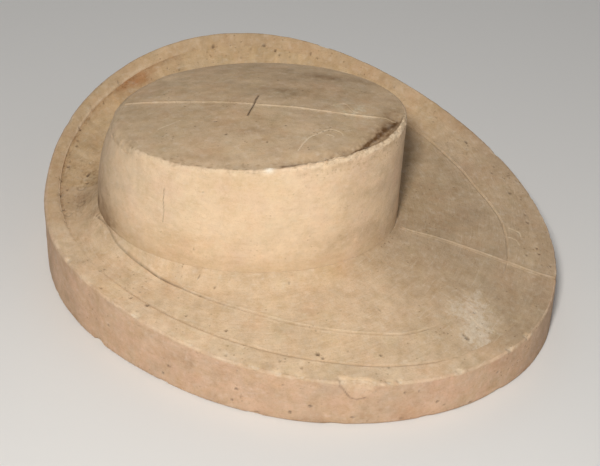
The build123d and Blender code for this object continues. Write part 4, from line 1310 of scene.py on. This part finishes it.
def make_crown_filling():
    count = scaled(250) // 2 * 2
    # a square grid, its rows closer along the centre line, rounded to fill the oval
    across = np.linspace(-1, 1, count + 1)
    close = across - 0.55 * np.sin(np.pi * across) / np.pi
    grid_x, grid_y = np.meshgrid(across, close, indexing="ij")
    disk_x = grid_x * np.sqrt(1 - grid_y * grid_y / 2)
    disk_y = grid_y * np.sqrt(1 - grid_x * grid_x / 2)
    turn = np.arctan2(disk_y, disk_x).ravel()
    top, dark, light = fill_top(turn, np.hypot(disk_x, disk_y).ravel())
    index = np.arange(len(top)).reshape(count + 1, count + 1)
    quads = [np.stack([index[:-1, :-1], index[1:, :-1], index[1:, 1:], index[:-1, 1:]],
                      -1).reshape(-1, 4)]
    border = np.concatenate([index[:-1, 0], index[-1, :-1], index[:0:-1, -1], index[0, :0:-1]])
    edge_turn, edge_z = turn[border], top[border, 2]
    points, base = [top], len(top)
    # down the side to the seat
    last = border
    for share in (0.02, 0.12, 0.3, 0.5, 0.7, 0.85, 1.0):
        z = (edge_z - 0.4) * (1 - share) + SEAT_Z * share
        points.append(stack(*oval(level_at(z, edge_turn), edge_turn, FILL_INSET), z))
        ring = base + np.arange(len(border))
        base += len(ring)
        quads.append(np.column_stack([last, np.roll(last, -1), np.roll(ring, -1), ring]))
        last = ring
    extra, triangles, openings = fill_underside(points[-1], last, base)
    points.append(extra)
    base += len(extra)
    # stepped recess for each pin: flange wall, flange ledge, pin wall, end
    flange_top = SEAT_Z + FLANGE_TALL + POUR_GAP
    for middle, last in zip((-PIN_X, PIN_X), openings):
        for radius, z in ((FLANGE_R, flange_top), (PIN_R, flange_top),
                          (PIN_R, SEAT_Z + PIN_TALL + POUR_GAP)):
            points.append(circle(middle, radius + POUR_GAP, z))
            ring = base + np.arange(PIN_SIDES)
            base += PIN_SIDES
            quads.append(np.column_stack([last, ring, np.roll(ring, -1), np.roll(last, -1)]))
            last = ring
        points.append(np.array([[middle, 0, z]]))
        end = np.column_stack([last, np.full(PIN_SIDES, base), np.roll(last, -1)])
        triangles = np.vstack([triangles, end])
        base += 1
    points = np.vstack(points)
    rest = np.zeros(len(points) - len(top))
    paint = coat(top_colour(points), (srgb(232, 214, 186), 0.85 * np.append(light, rest)),
                 (DARK * 0.7, 0.85 * np.append(dark, rest)))
    add_piece("crown_filling", points, np.vstack(quads), paint, chalk=0.10,
              grime_and_shade=0.16 + 0.4 * blob(points, 90, -12, 10, 26, 14), material=MAT_TOP,
              part="crown", node="crown_fill", slot="fill_plaster", triangles=triangles)


make_brim_face()
make_outer_wall()
make_crown_shell()
make_crown_filling()

# ---------------------------------------------------------------- CAD nodes kept as they are
for node, material, slot_name in (
    ("bed_backing", MAT_BACK, "backing_plaster"), ("bed_scrim", MAT_HESSIAN, "hessian"),
    ("crown_scrim", MAT_HESSIAN, "hessian"), ("bed_rods", MAT_STEEL, "steel"),
    ("rim_hoop", MAT_STEEL, "steel"), ("locating_cups", MAT_BRASS, "brass"),
    ("locating_pins", MAT_BRASS, "brass"),
):
    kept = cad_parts[node]
    kept.data.materials.clear()
    kept.data.materials.append(material)


# ---------------------------------------------------------------- floor, lights, camera, in m
def add_floor(half=6.0, drop=0.0004):
    mesh = bpy.data.meshes.new("floor")
    corners = [(-half, -half, 0), (half, -half, 0), (half, half, 0), (-half, half, 0)]
    mesh.from_pydata(corners, [], [(0, 1, 2, 3)])
    ground = bpy.data.objects.new("floor", mesh)
    bpy.context.scene.collection.objects.link(ground)
    material = bpy.data.materials.new("floor")
    material.use_nodes = True
    shader = material.node_tree.nodes["Principled BSDF"]
    shader.inputs["Base Color"].default_value = (0.80, 0.79, 0.77, 1)
    shader.inputs["Roughness"].default_value = 0.9
    mesh.materials.append(material)
    ground.location = (0, 0, -drop)


def add_light(name, place, target, size, power, colour):
    data = bpy.data.lights.new(name, "AREA")
    data.shape, data.size, data.energy, data.color = "DISK", size, power, colour
    light = bpy.data.objects.new(name, data)
    light.location = place
    light.rotation_euler = (Vector(target) - Vector(place)).to_track_quat("-Z", "Y").to_euler()
    bpy.context.scene.collection.objects.link(light)


def set_world():
    world = bpy.data.worlds.new("studio")
    world.use_nodes = True
    background = world.node_tree.nodes["Background"]
    background.inputs["Color"].default_value = (0.97, 0.98, 1.0, 1)
    background.inputs["Strength"].default_value = 0.17
    bpy.context.scene.world = world
    bpy.context.scene.view_settings.view_transform = "Standard"


def add_camera():
    data = bpy.data.cameras.new("camera")
    data.sensor_width = 36.0
    data.lens = 94.6602
    data.clip_start, data.clip_end = 0.05, 50
    camera = bpy.data.objects.new("camera", data)
    right = Vector((0.968220, 0.249008, 0.023339))
    up = Vector((-0.159924, 0.544671, 0.823261))
    backward = Vector((0.192287, -0.800830, 0.567184))
    place = Vector((0.241998, -0.877719, 0.659809))
    turn = Matrix((right, up, backward)).transposed().to_4x4()
    camera.matrix_world = Matrix.Translation(place) @ turn
    bpy.context.scene.collection.objects.link(camera)
    bpy.context.scene.camera = camera


add_floor()
add_light("key", place=(0.15, -1.08, 1.0), target=(0, 0, 0.06), size=0.2, power=16.3,
          colour=(1.0, 0.975, 0.94))
add_light("fill", place=(1.7, -0.6, 1.3), target=(0, 0, 0.05), size=1.4, power=2.2,
          colour=(0.97, 0.98, 1.0))
add_light("back", place=(-0.7, 1.7, 1.5), target=(0, 0, 0.05), size=1.4, power=3.6,
          colour=(1.0, 0.98, 0.95))
set_world()
add_camera()
